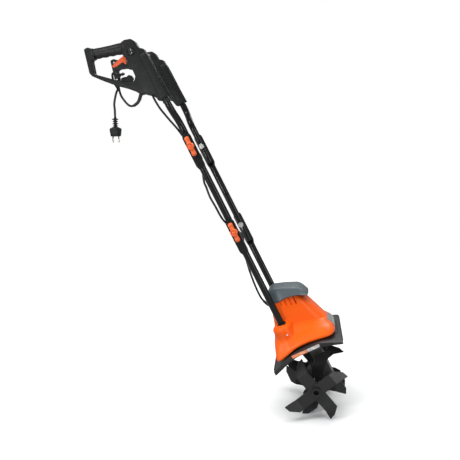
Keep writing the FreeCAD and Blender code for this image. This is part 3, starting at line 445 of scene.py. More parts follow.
def inset(loop, amount):
    """The outline moved towards the inside of its turning direction."""
    moved = []
    count = len(loop)
    for index, point in enumerate(loop):
        before = Vector(point) - Vector(loop[index - 1])
        after = Vector(loop[(index + 1) % count]) - Vector(point)
        first = Vector((-before.y, before.x)).normalized()
        second = Vector((-after.y, after.x)).normalized()
        middle = (first + second) / max(0.35, 1 + first.dot(second))
        moved.append((point[0] + middle.x * amount, point[1] + middle.y * amount))
    return moved


def shell(loops, rows):
    """A plate from outlines in u-w (the first is the rim, the rest are holes) and rows of (inset, y)."""
    bm = bmesh.new()
    caps = ([], [])
    for number, loop in enumerate(loops):
        turned = list(loop)
        if (signed_area(turned) > 0) != (number == 0):
            turned.reverse()
        rings = [[bm.verts.new((u, y, w)) for u, w in inset(turned, amount)] for amount, y in rows]
        count = len(turned)
        for low, high in zip(rings, rings[1:]):
            for index in range(count):
                after = (index + 1) % count
                bm.faces.new((low[index], low[after], high[after], high[index]))
        for cap, ring in zip(caps, (rings[0], rings[-1])):
            cap.extend(bm.edges.get((ring[index - 1], ring[index])) for index in range(count))
    for cap in caps:
        bmesh.ops.triangle_fill(bm, use_beauty=True, use_dissolve=False, edges=cap)
    return bm


def slab(loops, y_low, y_high, bevel, segments=3):
    """A plate with evenly rounded rims."""
    curve = [math.pi / 2 * k / segments for k in range(segments + 1)]
    rows = [(bevel * (1 - math.sin(a)), y_low + bevel * (1 - math.cos(a))) for a in curve]
    return shell(loops, rows + [(amount, y_low + y_high - y) for amount, y in rows[::-1]])


def add(bm, other):
    """Move the faces of another bmesh into this one."""
    mesh = bpy.data.meshes.new("part")
    other.to_mesh(mesh)
    other.free()
    bm.from_mesh(mesh)
    bpy.data.meshes.remove(mesh)


def carve(made, cutters):
    """Cut closed meshes out of a piece and keep the result."""
    tool_bm = bmesh.new()
    for cutter in cutters:
        add(tool_bm, cutter)
    tool = piece("cutter", tool_bm, "dark", sharp=180)
    modifier = made.modifiers.new("carve", "BOOLEAN")
    modifier.object = tool
    modifier.operation = "DIFFERENCE"
    modifier.solver = "EXACT"
    graph = bpy.context.evaluated_depsgraph_get()
    mesh = bpy.data.meshes.new_from_object(made.evaluated_get(graph))
    made.modifiers.remove(modifier)
    made.data = mesh
    bpy.data.objects.remove(tool)
    bm = bmesh.new()
    bm.from_mesh(mesh)
    mark_sharp(bm, 38)
    bm.to_mesh(mesh)
    bm.free()


def block(u, y, w, size, turn=0.0, bevel=0.6):
    """A small rounded block, size (u, y, w), turned about y by an angle."""
    half_u, half_y, half_w = (value / 2 for value in size)
    corners = [(-half_u, -half_w), (half_u, -half_w), (half_u, half_w), (-half_u, half_w)]
    spot = []
    for a, b in corners:
        spot.append((u + a * math.cos(turn) + b * math.sin(turn), w - a * math.sin(turn) + b * math.cos(turn)))
    return slab([rounded(spot, bevel * 1.5, 3)], y - half_y, y + half_y, bevel, 1)


# ---------------------------------------------------------------- casing shapes

HOOD_REAR = [(148, -67), (158, -66), (176, -61), (193, -56), (224, -41), (246, -33), (270, -27), (302, -20)]
HOOD_FRONT = [(148, 130), (160, 130), (190, 123), (215, 113), (240, 103), (272, 90), (286, 81), (296, 74), (302, 60)]
HOOD_HALF = [(148, 75), (213, 75), (250, 73), (302, 67)]
HOOD_CREASE = [(-45, 223), (7, 213), (49, 206), (82, 197), (121, 185)]
HOOD_FOOT = [(-75, -8), (-50, -6), (0, 7.5), (22, 9.2), (45, 8.8), (80, 4), (98, 0), (125, -6), (142, -8)]
HOOD_CENTRE = 40
HOOD_FLOOR = 148
HOOD_ROOF = 301


def square_radius(angle, rear, front, half, power, nose, taper=0.0):
    """Distance from the hood's centre line to a squared oval that narrows towards the front.

    power and nose set how sharp the rear and the front corners are; half is taken at the centre line.
    """
    ahead = math.cos(angle) > 0
    reach = front - HOOD_CENTRE if ahead else HOOD_CENTRE - rear
    across = abs(math.cos(angle)) / reach
    beside = max(0.0, abs(math.sin(angle)) + math.tan(taper) * math.cos(angle)) / half
    sharp = nose if ahead else power
    return (across ** sharp + beside ** sharp) ** (-1 / sharp)


def soft_max(first, second, blend):
    gap = (first - second) / blend
    if abs(gap) > 8:
        return max(first, second)
    return second + blend * math.log(1 + math.exp(gap))


def collar_radius(angle, w):
    """Distance to the far side of the raised collar round a tube socket, or nothing beside it."""
    top = 238 + 9 * smoothstep(2.0, 2.6, abs(math.atan2(math.sin(angle), math.cos(angle))))
    size = 30 * math.sqrt(max(0.0, 1 - max(0.0, (w - top + 20) / 20) ** 2))
    best = 0.0
    for side in (RIGHT, LEFT):
        to_tube = Vector((TUBE_U - 5 - HOOD_CENTRE, side * TRACK))
        turn = angle - math.atan2(to_tube.y, to_tube.x)
        turn = math.atan2(math.sin(turn), math.cos(turn))
        miss = to_tube.length * math.sin(turn)
        if abs(turn) < 1 and abs(miss) < size:
            best = max(best, to_tube.length * math.cos(turn) + math.sqrt(size * size - miss * miss))
    return best


def skirt_rim(angle):
    rim = square_radius(angle, -71, 138, 142, 12, 5, math.radians(7))
    return min(rim, 150 / max(0.01, abs(math.sin(angle))))


def skirt_radius(angle, w):
    """The flared lower skirt; its upper edge climbs towards the tubes."""
    rim = skirt_rim(angle)
    head = square_radius(angle, -45, 124, 80, 6, 5, math.radians(7))
    along = HOOD_CENTRE + head * math.cos(angle)
    crease = between(HOOD_CREASE, along)
    part = max(0.0, (w - 155) / (crease - 155))
    if part > 1:
        return head - (part - 1) * 90
    return rim + (head - rim) * (0.86 * part + 0.14 * part * part) + 3 * math.sin(math.pi * min(1, part * 1.6))


def hood_radius(angle, w):
    body = square_radius(angle, between(HOOD_REAR, w), between(HOOD_FRONT, w), between(HOOD_HALF, w),
                         14, 5, math.radians(10))
    radius = soft_max(body, skirt_radius(angle, w), 1.2)
    collar = collar_radius(angle, w)
    if collar:
        radius = soft_max(radius, collar, 6.0)
    return min(radius, skirt_rim(angle))


def hood_point(angle, w, out=0.0):
    """A point of the hood; the foot of the skirt arches along the guard."""
    radius = hood_radius(angle, w) + out
    u = HOOD_CENTRE + radius * math.cos(angle)
    arch = between(HOOD_FOOT, u) * (1 - smoothstep(HOOD_FLOOR, 195, w))
    return Vector((u, radius * math.sin(angle), w + arch))


def hood_spot(u, w, side, out=0.0):
    """The point of the hood's flank above a given u."""
    angle = side * math.pi / 2
    for _ in range(24):
        here = hood_point(angle, w)
        angle -= side * (u - here.x) / 120
    return hood_point(angle, w, out)


def make_hood():
    bm = bmesh.new()
    around = 288
    heights = [HOOD_FLOOR, HOOD_FLOOR + 0.8] + [HOOD_FLOOR + 2 + 2.1 * k for k in range(72)] + [HOOD_ROOF]
    rings = []
    for row, w in enumerate(heights):
        trim = (1.2, 0.3)[row] if row < 2 else 0.0
        rings.append([hood_point(2 * math.pi * k / around, w, -trim) for k in range(around)])
    skin(bm, rings)
    hood = piece("hood_shell", bm, "hood", "power_head", ["hood"], sharp=50)
    cutters = []
    for side in (RIGHT, LEFT):
        for number in range(4):
            top_u = 14.5 + 15.3 * number
            length = (15, 20, 26, 29)[number]
            corners = [(-2.3, -length), (2.3, -length), (2.3, 6), (-2.3, 6)]
            cutter = slab([rounded(corners, 1.6, 4)], *sorted((-side * 2.6, side * 16)), 0.2, 1)
            spot = hood_spot(top_u, 299, side)
            cutter.transform(Matrix.Translation(spot) @ Matrix.Rotation(0.02, 4, "Y"))
            cutters.append(cutter)
        for u, top, foot in ((-10, 208, 150), (0, 196, 159)):
            groove = bmesh.new()
            sweep(groove, [hood_spot(u, top + (foot - top) * k / 8, side, 0.2) for k in range(9)], 1.9, 10)
            cutters.append(groove)
        groove = bmesh.new()
        sweep(groove, [hood_spot(u, between(HOOD_CREASE, u), side, 0.3) for u in range(26, 107, 8)], 1.3, 10)
        cutters.append(groove)
    carve(hood, cutters)
    bm = bmesh.new()
    for side in (RIGHT, LEFT):
        spot = hood_spot(-5, 202, side, -0.6)
        lathe(bm, [(0.1, -1), (2.6, -1), (3.0, 1.2), (2.4, 1.9), (0.1, 2.1)], spot, (0, side, 0.8), 20)
    piece("hood_pips", bm, "label_white_plain", "power_head")
    return hood


def make_collars():
    """Dark rings round the handle tubes, standing just proud of the hood where the tubes enter it."""
    bm = bmesh.new()
    for side in (RIGHT, LEFT):
        lathe(bm, [(11.1, 226), (15.2, 226), (15.2, 238.2), (14.4, 239.0), (12.2, 238.0), (11.1, 235)],
              (TUBE_U, side * TRACK, 0), (0, 0, 1), 40)
    # A dark ring at the foot of each tube, just proud of the collar.
    piece("tube_bushes", bm, "dark", "power_head")


def make_grille():
    """The fine mesh over the air inlet in the nose, laid over a dark sheet of painted shade that stands for the
    shadowed inside of the inlet.
    """
    back = bmesh.new()
    bars = bmesh.new()
    angles = [math.radians(-28 + 2 * k) for k in range(29)]
    levels = [154 + 3.6 * k for k in range(8)]
    skin(back, [[hood_point(a, w, 0.5) for a in angles] + [hood_point(a, w, -2) for a in angles[::-1]] for w in levels])
    for number, angle in enumerate(angles):
        if number % 2 == 0:
            sweep(bars, [hood_point(angle, w, 0.9) for w in levels], 0.75, 8, 6.0)
    for w in levels:
        sweep(bars, [hood_point(a, w, 1.0) for a in angles[::3]], 0.75, 8, 6.0)
    # The dark sheet under the bars is painted shade for the inside of the inlet; the hood itself is not cut open.
    piece("nose_screen", back, "dark", "power_head")
    piece("nose_mesh", bars, "mesh_grey", "power_head")


CAP_EDGE = [(-16, 301), (8, 299.5), (24, 302.5), (48, 301.6), (80, 294), (90, 287), (97, 282), (107, 276)]
CAP_CREASE = [(-16, 339), (0, 343), (9, 342.5), (43, 331), (84, 314), (92, 306.5), (99, 297), (107, 285)]
CAP_MIDDLE = 45.7
CAP_REACH = 61.3


def cap_ring(shrink, half, height):
    """A rounded rectangle of the cap; height gives the level at a given u."""
    ring = []
    reach = CAP_REACH - shrink
    for k in range(144):
        angle = 2 * math.pi * k / 144
        c, s = math.cos(angle), math.sin(angle)
        sharp = 4.2 if c > 0 else 8
        radius = (abs(c / reach) ** sharp + abs(s / half) ** sharp) ** (-1 / sharp)
        u = CAP_MIDDLE + radius * c
        ring.append((u, radius * s, height(u)))
    return ring


def make_cap():
    """Grey cover over the top of the motor: leaning sides, a crease and a nearly flat roof."""
    def level(share, rise=0.0):
        return lambda u: between(CAP_EDGE, u) * (1 - share) + between(CAP_CREASE, u) * share + rise

    rows = [(7, 66, level(0, 5)), (2.2, 72.0, level(0, 0.6)), (1.0, 73.4, level(0)), (0.2, 74.2, level(0, 0.9)), (0.0, 74.4, level(0, 2.4)),
            (0.2, 70.2, level(0.2)), (0.6, 62.8, level(0.5)), (1.4, 55.2, level(0.8)), (2.4, 50.2, level(0.96)), (3.2, 48.4, level(1, -0.5)),
            (4.4, 46.6, level(1, 0.1)), (6.4, 44.6, level(1, 0.5)), (10, 41, level(1, 0.9)), (16, 36, level(1, 1.3)), (24, 30, level(1, 1.6)),
            (34, 24, level(1, 1.8)), (46, 14, level(1, 1.8)), (58, 5, level(1, 1.8))]
    bm = bmesh.new()
    skin(bm, [cap_ring(*row) for row in rows])
    cap = piece("motor_cover", bm, "cap", "power_head", ["motor_cap"], sharp=42)
    return cap


GUARD_LINE = [(-91, 120), (-78, 124.5), (-62, 130.5), (-38, 139.5), (-14, 146.5), (8, 149.6), (40, 150.4), (78, 147.5),
              (95, 142.6), (108, 137.4), (130, 128), (149, 120)]
GUARD_LIP = [(-91, 13), (-20, 14.5), (30, 15), (80, 14), (149, 6.5)]
GUARD_HALF = 165
HOOD_SCREWS = [(-58, 125), (136, 125)]     # u and distance from the middle


def make_guard():
    bm = bmesh.new()
    line = curve_points([(u, 0, w) for u, w in GUARD_LINE], 4)
    corner = 5
    rings = []
    for point in line:
        u, w = point.x, point.z
        half = GUARD_HALF
        for end, sign in ((-91, 1), (149, -1)):
            near = (u - end) * sign
            if near < corner:
                half = min(half, GUARD_HALF - corner + math.sqrt(max(0, corner ** 2 - (corner - near) ** 2)))
        lip = between(GUARD_LIP, u)
        section = [(-half + 2.6, w - lip), (-half, w - lip + 0.4), (-half, w - 4)]
        section += [(-half + 4 - 4 * math.cos(math.pi / 2 * k / 4), w - 4 + 4 * math.sin(math.pi / 2 * k / 4)) for k in range(1, 5)]
        section += [(y, w) for y in range(-120, 121, 40)]
        mirrored = [(-y, z) for y, z in section[:7]][::-1]
        section += mirrored
        inner = [(half - 2.6, w - 4), (half - 5, w - 3.2), (0, w - 3), (-half + 5, w - 3.2), (-half + 2.6, w - 4)]
        section += inner
        rings.append([(u, y, z) for y, z in section])
    skin(bm, rings)
    guard = piece("guard_tray", bm, "guard", "power_head", ["tine_guard"], sharp=40)
    bm = bmesh.new()
    line = [(108, -66, 137), (124, -66, 130.4), (134, -64, 126.2), (138.6, -57, 124.2), (138.6, 0, 124.2),
            (138.6, 57, 124.2), (134, 64, 126.2), (124, 66, 130.4), (108, 66, 137)]
    sweep(bm, line, 1.7, 10)
    sweep(bm, [(149, y, 118.6) for y in range(-138, 139, 12)], 2.4, 12)
    sweep(bm, [(-91, y, 119.4) for y in range(-138, 139, 12)], 2.4, 12)
    piece("guard_beads", bm, "guard", "power_head")
    return guard


def make_screws():
    """Pan-head screws and washers under the guard."""
    bm = bmesh.new()
    for u, half in HOOD_SCREWS:
        for side in (RIGHT, LEFT):
            under = between(GUARD_LINE, u) - 3
            lathe(bm, [(0.1, -4.6), (3.2, -4.2), (4.8, -2.8), (5.2, -1.2), (7.2, -1.2), (7.2, -0.2), (3.0, -0.2), (3.0, 2.2), (0.1, 2.2)],
                  (u, side * half, under), (0, 0, 1), 28)
    piece("guard_screws", bm, "zinc", "power_head", ["hood_screws"], sharp=30)


def make_labels():
    """Two blank stickers on each lip of the guard."""
    for side, tag in ((RIGHT, "right"), (LEFT, "left")):
        outside = side * (GUARD_HALF + 0.25)
        inside = side * (GUARD_HALF - 1)
        for name, low, high, look in (("orange", -16, 36, "label_orange"), ("white", 37, 79, "label_white")):
            loop = rounded([(low, 136.2), (high, 136.2), (high, 146), (low, 146)], 1.2, 3)
            bm = slab([loop], min(inside, outside), max(inside, outside), 0.12, 1)
            piece(f"label_{name}_{tag}", bm, look, "power_head")


# ---------------------------------------------------------------- handles

HANDLE_RIM = [
    (-169, 1298.5, 7), (-155.5, 1297, 8), (-146, 1288, 6), (-52, 1260, 9), (-42, 1262, 9), (-21, 1255, 12),
    (-13, 1241, 10), (-12, 1220, 9), (1.5, 1209, 8), (2, 1046, 7), (-30, 1046, 6), (-36, 1071, 10),
    (-58, 1087, 9), (-71, 1089, 9), (-86, 1113, 14), (-130, 1152, 24), (-160, 1184, 30), (-184.5, 1213, 12),
    (-188, 1225, 12),
]
HANDLE_OPENING = [
    (-162, 1256.5, 8), (-150, 1255, 8), (-69, 1228, 7), (-62, 1210, 7), (-74.6, 1181, 6), (-60.4, 1171, 8),
    (-61.7, 1148, 8), (-69.4, 1139, 7), (-78, 1138, 8), (-91, 1145, 9), (-123.5, 1168.6, 20),
    (-169, 1210, 12), (-174.5, 1215, 8),
]
HOOK = [(-107, 1150, 3), (-111, 1161, 5), (-107, 1167.5, 5), (-98, 1166, 4), (-90, 1163, 3), (-81, 1165, 4),
        (-73, 1158, 4), (-71, 1146, 5), (-88, 1136, 5), (-104, 1144, 3)]
LEVER = [(-116, 1212, 3), (-113, 1205.5, 4), (-73, 1193, 5), (-61, 1191.5, 8), (-54.5, 1199, 7), (-57, 1210, 5),
         (-67, 1222.5, 4), (-79, 1221.5, 6)]
GRIP_START = Vector((-147, 1272.6))
GRIP_END = Vector((-57, 1245.8))


def softened(table, steps=6):
    return rounded([(u, w) for u, w, _ in table], [r for _, _, r in table], steps)


def handle_rows(side, outer):
    """Insets from the parting line to the face; the parting line itself is a fine groove."""
    middle = side * GRIPS
    grow = side if outer else -side
    rows = [(3.0, 13.96), (1.9, 13.7), (0.9, 13.0), (0.25, 12.0), (0.0, 10.8), (0.0, 0.9), (0.25, 0.35), (0.8, 0.1)]
    return sorted(((amount, middle + grow * depth) for amount, depth in rows), key=lambda row: row[1])


def make_handle(side, tag):
    """Two moulded halves with a proud cover along the tube and a bead along the lower bar, cut back for the grip
    sleeve; the right handle also carries the cord hook.
    """
    for outer, half in ((True, "outer"), (False, "inner")):
        bm = shell([softened(HANDLE_RIM), softened(HANDLE_OPENING)], handle_rows(side, outer))
        grow = side if outer else -side
        face = side * GRIPS + grow * 13.9
        cover = []
        for w, lift, width in [(1047, 0.2, 15.6), (1050, 1.3, 15.2), (1058, 1.8, 14.6), (1100, 1.9, 13.4), (1150, 1.9, 13),
                               (1184, 1.8, 12.4), (1194, 1.2, 10.5), (1200, -0.6, 7)]:
            ring = []
            for k in range(17):
                angle = math.pi * k / 16
                ring.append((TUBE_U + 1.5 - width * math.cos(angle), face + grow * lift * math.sin(angle) ** 0.7, w))
            ring += [(TUBE_U + 1.5 + width * 0.9, face - grow * 3, w), (TUBE_U + 1.5 - width * 0.9, face - grow * 3, w)]
            cover.append(ring)
        skin(bm, cover)
        if side == RIGHT:
            depth = 6
            low, high = sorted((side * GRIPS, side * GRIPS + grow * depth))
            add(bm, slab([softened(HOOK)], low - 0.05, high, 1.2))
        line = [(-150, 1178.5), (-122, 1155.5), (-92, 1126), (-82, 1112)]
        bead = [(u, face - grow * 0.4, w) for u, w in line]
        sweep(bm, bead, 1.1, 10)
        made = piece(f"handle_shell_{tag}_{half}", bm, "handle", f"upper_{tag}", [f"handle_{tag}_{half}"],
                     sharp=36)
        start, along, up, length = grip_frame(side)
        corners = [(0.5, -23), (length - 4, -23), (length - 0.5, -15), (length - 0.5, 19), (0.5, 19)]
        bar = [start + along * s + up * t for s, t in corners]
        cuts = [slab([[(point.x, point.z) for point in bar]], side * GRIPS - 20, side * GRIPS + 20, 0.5)]
        if side == RIGHT and outer:
            well = bmesh.new()
            lathe(well, [(0.1, -4.6), (10.5, -4.6), (10.5, 10), (0.1, 10)], (-38, -140, 1220), (0, -1, 0), 48)
            cuts.append(well)
        carve(made, cuts)


def grip_frame(side):
    start = Vector((GRIP_START.x, side * GRIPS, GRIP_START.y))
    end = Vector((GRIP_END.x, side * GRIPS, GRIP_END.y))
    along = (end - start).normalized()
    up = Vector((-along.z, 0, along.x))
    return start, along, up, (end - start).length


def make_grip(side, tag):
    """Soft sleeve with rows of square dimples, a bump at its heel and a swell at its nose."""
    start, along, up, length = grip_frame(side)
    cell = 5.2
    count = int(length / cell)
    margin = (length - count * cell) / 2
    stations = [-1.0, 0.0, 0.4, margin * 0.5]
    for index in range(count):
        base = margin + index * cell
        stations += [base, base + 0.9, base + 1.3, base + cell - 1.3, base + cell - 0.9]
    stations += [length - margin, length - 0.4, length, length + 1.0]
    sector = 16.0
    turns = []
    for index in range(12):
        base = -6 + index * sector
        turns += [base, base + 3.0, base + 4.2, base + sector - 4.2, base + sector - 3.0]
    turns += [186 + 11.6 * k for k in range(15)]
    bm = bmesh.new()
    rings = []
    for s in stations:
        share = s / length
        swell = 0.9 * math.exp(-((share - 0.86) / 0.16) ** 2) + 0.7 * math.exp(-((share - 0.06) / 0.12) ** 2)
        ends = 2.2 * (1 - smoothstep(-1.0, 2.2, s)) + 2.2 * smoothstep(length - 2.2, length + 1.0, s)
        ring = []
        for index, degrees in enumerate(turns):
            angle = math.radians(degrees)
            size = 14.6 + swell * max(0.0, math.sin(angle)) - ends
            place = (s - margin) % cell
            inside = margin < s < length - margin and 1.2 < place < cell - 1.2
            across = (degrees + 6) % sector
            if inside and index < 60 and 4.1 < across < sector - 4.1:
                size -= 0.75
            finger = 0.8 * max(0.0, -math.sin(angle)) * math.cos(2 * math.pi * share * 4)
            flat = 0.93 * math.cos(angle)
            deeper = (3.0 + 2.4 * share) * max(0.0, -math.sin(angle))
            ring.append(start + along * s + up * ((size - finger + deeper) * math.sin(angle))
                        + SIDE * (side * -(size - finger) * flat))
        rings.append(ring)
    skin(bm, rings)
    for s, size, reach in ((-4.5, 15.0, 5.5), (length + 4.5, 14.9, 5.5)):
        centre = start + along * s
        lathe(bm, [(6, -reach), (size - 1.4, -reach + 0.2), (size - 0.4, -reach + 1.2), (size, 0.4 - reach + 2.4),
                   (size, reach - 2.4), (size - 0.4, reach - 1.2), (size - 1.4, reach - 0.2), (6, reach)],
              centre, along, 40)
    return piece(f"grip_sleeve_{tag}", bm, "grip", f"upper_{tag}", [f"grip_{tag}"], sharp=32)


def make_lever():
    bm = slab([softened(LEVER)], -136, -124, 2.4, 4)
    lathe(bm, [(0.1, -6.9), (5.2, -6.9), (6.2, -6.3), (6.6, -5.2), (6.6, 5.2), (6.2, 6.3), (5.2, 6.9), (0.1, 6.9)],
          (-62, -130, 1199), (0, 1, 0), 32)
    piece("trigger", bm, "lever", "lever", ["switch_lever"], sharp=34)
    well = [(-107, 1203, 2), (-105, 1194.5, 3), (-72, 1181.5, 3), (-60, 1180, 3), (-60, 1190, 3), (-73, 1196.5, 3), (-79, 1206.5, 4)]
    piece("trigger_well", slab([softened(well)], -137.6, -122.4, 1.6, 3), "handle", "upper_right", sharp=34)
    bm = bmesh.new()
    lathe(bm, [(0.1, 0), (3.4, 0), (3.4, 1.0), (2.6, 1.5), (1.2, 1.6), (0.1, 1.2)], (-62, -143.7, 1199), (0, -1, 0), 24)
    piece("pivot_cap", bm, "gloss", "upper_right")


def make_button():
    """Dished push button and the ring moulded round it."""
    bm = bmesh.new()
    lathe(bm, [(0.1, 0), (9.3, 0), (9.9, 0.5), (9.9, 6.4), (9.4, 7.4), (8.3, 8.0), (7.0, 7.9), (5.0, 7.1), (2.5, 6.6), (0.1, 6.5)],
          (-38, -140, 1220), (0, -1, 0), 48)
    piece("push_button", bm, "gloss", "button", ["lock_button"], sharp=40)
    bm = bmesh.new()
    ring = [(-38 + 12.1 * math.cos(2 * math.pi * k / 40), -143.7, 1220 + 12.1 * math.sin(2 * math.pi * k / 40)) for k in range(41)]
    sweep(bm, ring, 1.6, 12)
    piece("button_ring", bm, "handle", "upper_right")


# ---------------------------------------------------------------- joints and leads

def wing_section(reach):
    """Half width and crest of the wing at a distance from the boss."""
    width = between([(0, 10.2), (9, 7.6), (16, 7.2), (25, 8.2), (30, 7.6), (32.5, 5.2), (33.5, 2.0)], reach)
    crest = between([(0, 126.4), (8, 124.6), (16, 121.5), (24, 122.6), (29, 122.2), (32, 119.5), (33.5, 116.5)], reach)
    return width, crest


def make_knob(name, side, joint):
    """Wing knob with a dished boss."""
    bm = bmesh.new()
    rings = []
    reaches = [-33.5, -32.9, -32, -30.5, -28] + list(range(-26, 27, 3)) + [28, 30.5, 32, 32.9, 33.5]
    for reach in reaches:
        width, crest = wing_section(abs(reach))
        low = 111.2 + (1.6 if abs(reach) > 32.5 else 0)
        middle = (low + crest) / 2
        half = (crest - low) / 2
        ring = []
        for k in range(28):
            angle = 2 * math.pi * k / 28
            c, s = math.cos(angle), math.sin(angle)
            ring.append((TUBE_U + width * math.copysign(abs(c) ** 0.62, c),
                         side * (middle + half * math.copysign(abs(s) ** 0.62, s)), joint + reach))
        rings.append(ring)
    skin(bm, rings)
    profile = [(4.2, 107.4), (10.8, 107.4), (11.5, 108.1), (11.5, 124.6), (11.1, 126.1), (10.2, 126.9), (8.6, 126.9), (8.1, 126.2),
               (7.9, 123.4), (7.2, 122.8), (0.1, 122.6)]
    lathe(bm, profile, (TUBE_U, 0, joint), (0, side, 0), 40)
    return piece(name + "_wing", bm, "knob", name.replace("knob_lower", "knob_low").replace("knob_upper", "knob_high"),
                 [name], sharp=38)


def lead(name, points, radius, body=None, stands_for=(), look="cable"):
    bm = bmesh.new()
    sweep(bm, points, radius, 18, 3.0)
    return piece(name, bm, look, body, stands_for, sharp=60)


UPPER_LEAD = [(-40, -126, 1078), (-44, -122, 1068), (-42, -118, 1030), (-34, -112, 990), (-26, -95, 950), (-22, -77, 915),
              (-12, -71, 875), (-2, -72, 838), (-16, -76, 800), (-27, -90, 762), (-27.5, -96, 744)]
LOWER_LEAD = [(-27.5, -96, 744), (-31, -97, 710), (-30, -94, 676), (-30, -78, 625), (-18, -66, 590), (-3, -60, 562), (-2, -58, 540),
              (-17, -60, 500), (-29, -60, 445), (-36, -60, 390), (-38, -60, 350), (-35.5, -60, 326), (-28, -60, 309),
              (-17, -60, 299)]


def row(point):
    return MACHINE @ Vector(point)


def make_motor_lead():
    """One lead down the machine, in an upper and a lower length, with a ribbed sleeve at the power head."""
    upper = lead("motor_lead_upper", UPPER_LEAD, 3.5)
    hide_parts("cable_upper", "cable_middle")
    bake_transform(upper)
    lower = lead("motor_lead_lower", LOWER_LEAD, 3.5)
    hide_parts("cable_lower")
    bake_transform(lower)
    bm = bmesh.new()
    sweep(bm, [(-14, -60, 296.5), (-22, -60, 302), (-28, -60, 309), (-32.5, -60, 317.5), (-35.5, -60, 326)],
          lambda reach: 7.2 - 0.1 * reach + (0.5 if reach % 4 < 2 else 0), 20, 1.0)
    piece("lead_sleeve", bm, "cable", "power_head", ["cable_gland"])


CORD = [(-108, -128.2, 1073.2), (-116, -126, 1075), (-126, -121, 1083), (-134, -112, 1102), (-138, -106, 1128), (-131, -104, 1156),
        (-116, -106, 1178), (-102, -113, 1181), (-94, -124, 1176), (-97, -136, 1173), (-110, -139, 1182), (-123, -130, 1192),
        (-134, -112, 1188), (-141, -99, 1170), (-140, -99, 1150), hanging(-633, -107, 958), hanging(-639, -111, 927),
        hanging(-638, -112, 905), hanging(-638, -112, 880)]
BOOT = [(-62, -130, 1101), (-66, -130, 1099), (-76, -130, 1091), (-85, -130, 1082), (-96, -129.5, 1075.5), (-111, -127.6, 1073.4)]


def make_cord():
    lead("power_lead", CORD, 3.5, "upper_right", ["power_cord"])
    lead("bend_sleeve", BOOT, lambda reach: 6.0 - 0.028 * reach + (0.5 if reach % 6 < 3 else 0), "upper_right", ["cord_boot"])


PLUG_X = -638


def plug_point(x, y, z):
    return hanging(PLUG_X + x, -112 + y, 822 + z)


def make_plug():
    """Mains plug: wide round-shouldered body, ribbed neck and two pins (the CAD ones)."""
    bm = bmesh.new()
    rings = []
    body = [(0, 13.2, 9.5, 3.2), (0.5, 14.6, 11, 3.6), (2, 15.6, 12, 4.0), (9, 16.6, 12.6, 4.0), (17, 17.8, 13, 4.0),
            (22, 18.4, 13, 3.6), (24.2, 18.2, 12.6, 3.2), (26, 16.6, 11.8, 2.8), (28, 12.6, 10.4, 2.4), (30, 8.6, 8.4, 2.1)]
    for z, half_x, half_y, power in body:
        ring = []
        for k in range(40):
            angle = 2 * math.pi * k / 40
            c, s = math.cos(angle), math.sin(angle)
            ring.append(plug_point(half_x * math.copysign(abs(c) ** (2 / power), c), half_y * math.copysign(abs(s) ** (2 / power), s), z))
        rings.append(ring)
    skin(bm, rings)
    up = (Vector(plug_point(0, 0, 60)) - Vector(plug_point(0, 0, 0))).normalized()
    profile = [(5.2, 28)]
    for number, wide in enumerate((8.2, 9.2, 8.2, 10.2)):
        low = 31.5 + number * 7
        profile += [(4.9, low), (wide - 0.6, low), (wide, low + 0.6), (wide, low + 2.8), (wide - 0.6, low + 3.4), (4.9, low + 3.4)]
    profile += [(4.9, 58), (4.6, 59.4), (3.8, 60)]
    lathe(bm, profile, plug_point(0, 0, 0), up, 32)
    piece("plug_body", bm, "handle", "upper_right", ["mains_plug"], sharp=40)


# ---------------------------------------------------------------- scene

def make_stage():
    """A plain pale floor."""
    bm = bmesh.new()
    bm.faces.new([bm.verts.new(corner) for corner in [(-40, -8, 0), (40, -8, 0), (40, 60, 0), (-40, 60, 0)]])
    s = Shader("floor_paper")
    tone = s.mix(s.ramp(s.noise(0.7, 2), 0.3, 0.7), (0.92, 0.92, 0.92, 1), (0.96, 0.96, 0.96, 1))
    s.set(color=tone, rough=0.65, normal=s.bump(s.noise(120, 2), 0.02, 0.0005))
    distance = s.node("VectorMath", Vector=s.place)
    distance.operation = "LENGTH"
    fade = s.node("MixShader")
    s.feed(fade.inputs[0], s.ramp(distance.outputs["Value"], 1.2, 4.0))
    s.feed(fade.inputs[1], s.surface.outputs[0])
    s.feed(fade.inputs[2], s.node("Emission", Color=(1, 1, 1, 1)).outputs[0])
    unseen = s.node("BsdfDiffuse", Color=(0.35, 0.35, 0.35, 1))
    split = s.node("MixShader")
    s.feed(split.inputs[0], s.node("LightPath").outputs["Is Camera Ray"])
    s.feed(split.inputs[1], unseen.outputs[0])
    s.feed(split.inputs[2], fade.outputs[0])
    s.feed(s.tree.nodes["Material Output"].inputs["Surface"], split.outputs[0])
    M["floor"] = s.material
    piece("floor", bm, "floor", place=Matrix.Identity(4))


def area_light(name, spot, aim, size, power):
    data = bpy.data.lights.new(name, "AREA")
    data.shape = "RECTANGLE"
    data.size, data.size_y = size
    data.energy = power
    made = bpy.data.objects.new(name, data)
    bpy.context.scene.collection.objects.link(made)
    made.location = spot
    made.rotation_euler = (Vector(aim) - Vector(spot)).to_track_quat("-Z", "Y").to_euler()
    made.visible_camera = False


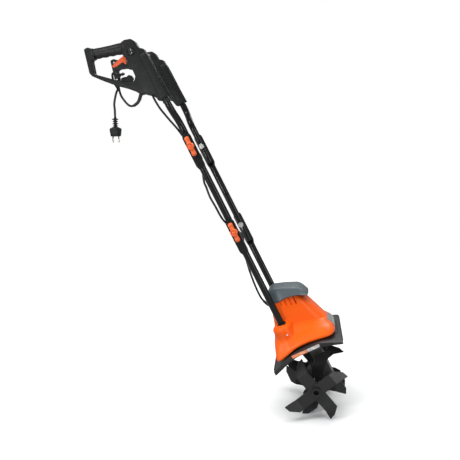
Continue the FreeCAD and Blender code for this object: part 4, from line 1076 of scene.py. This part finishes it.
def make_lights():
    area_light("key", (-2.4, -2.6, 3.6), (0, 0, 0.6), (1.2, 1.2), 60)
    area_light("fill", (3.4, -2.2, 1.8), (0.1, 0, 0.5), (1.2, 3.0), 36)
    area_light("streak", (-1.2, -2.95, 0.6), (-0.25, -0.1, 0.7), (0.25, 1.1), 16)
    area_light("back", (0.8, 3.2, 3.4), (0, 0, 0.7), (3.0, 1.6), 60)
    data = bpy.data.lights.new("sky", "SUN")
    data.energy = 2.6
    data.angle = math.radians(60)
    sky = bpy.data.objects.new("sky", data)
    bpy.context.scene.collection.objects.link(sky)
    sky.rotation_euler = (math.radians(12), math.radians(-10), 0)
    sky.visible_glossy = False
    world = bpy.data.worlds.new("studio")
    bpy.context.scene.world = world
    world.use_nodes = True
    tree = world.node_tree
    seen = tree.nodes["Background"]
    seen.inputs["Color"].default_value = (1, 1, 1, 1)
    soft = tree.nodes.new("ShaderNodeBackground")
    soft.inputs["Color"].default_value = (0.95, 0.97, 1.0, 1)
    soft.inputs["Strength"].default_value = 0.3
    mixer = tree.nodes.new("ShaderNodeMixShader")
    path = tree.nodes.new("ShaderNodeLightPath")
    tree.links.new(path.outputs["Is Camera Ray"], mixer.inputs[0])
    tree.links.new(soft.outputs[0], mixer.inputs[1])
    tree.links.new(seen.outputs[0], mixer.inputs[2])
    tree.links.new(mixer.outputs[0], tree.nodes["World Output"].inputs["Surface"])


def make_camera():
    right = Vector((0.99157, 0.12839, -0.01725))
    up = Vector((0, 0.13315, 0.99110))
    backward = right.cross(up)
    data = bpy.data.cameras.new("camera")
    data.sensor_width = 36
    data.lens = 48.5
    camera = bpy.data.objects.new("camera", data)
    bpy.context.scene.collection.objects.link(camera)
    turn = Matrix((right, up, backward)).transposed().to_4x4()
    camera.matrix_world = Matrix.Translation(AXLE + Vector((-0.0171, -2.060, 0.7807))) @ turn
    bpy.context.scene.camera = camera
    bpy.context.scene.view_settings.view_transform = "Standard"


M["label_white_plain"] = moulded("pip_white", (0.6, 0.6, 0.58), rough=0.4, grain=0.05)
M["mesh_grey"] = moulded("mesh_grey", (0.35, 0.35, 0.34), rough=0.45, grain=0.1)

dress_nodes()
make_hood()
make_collars()
make_grille()
make_cap()
make_guard()
make_screws()
make_labels()
for side, tag in ((RIGHT, "right"), (LEFT, "left")):
    make_handle(side, tag)
    make_grip(side, tag)
    make_knob("knob_lower_" + tag, side, JOINT_LOW)
    make_knob("knob_upper_" + tag, side, JOINT_HIGH)
make_lever()
make_button()
make_motor_lead()
make_cord()
make_plug()
make_stage()
make_lights()
make_camera()
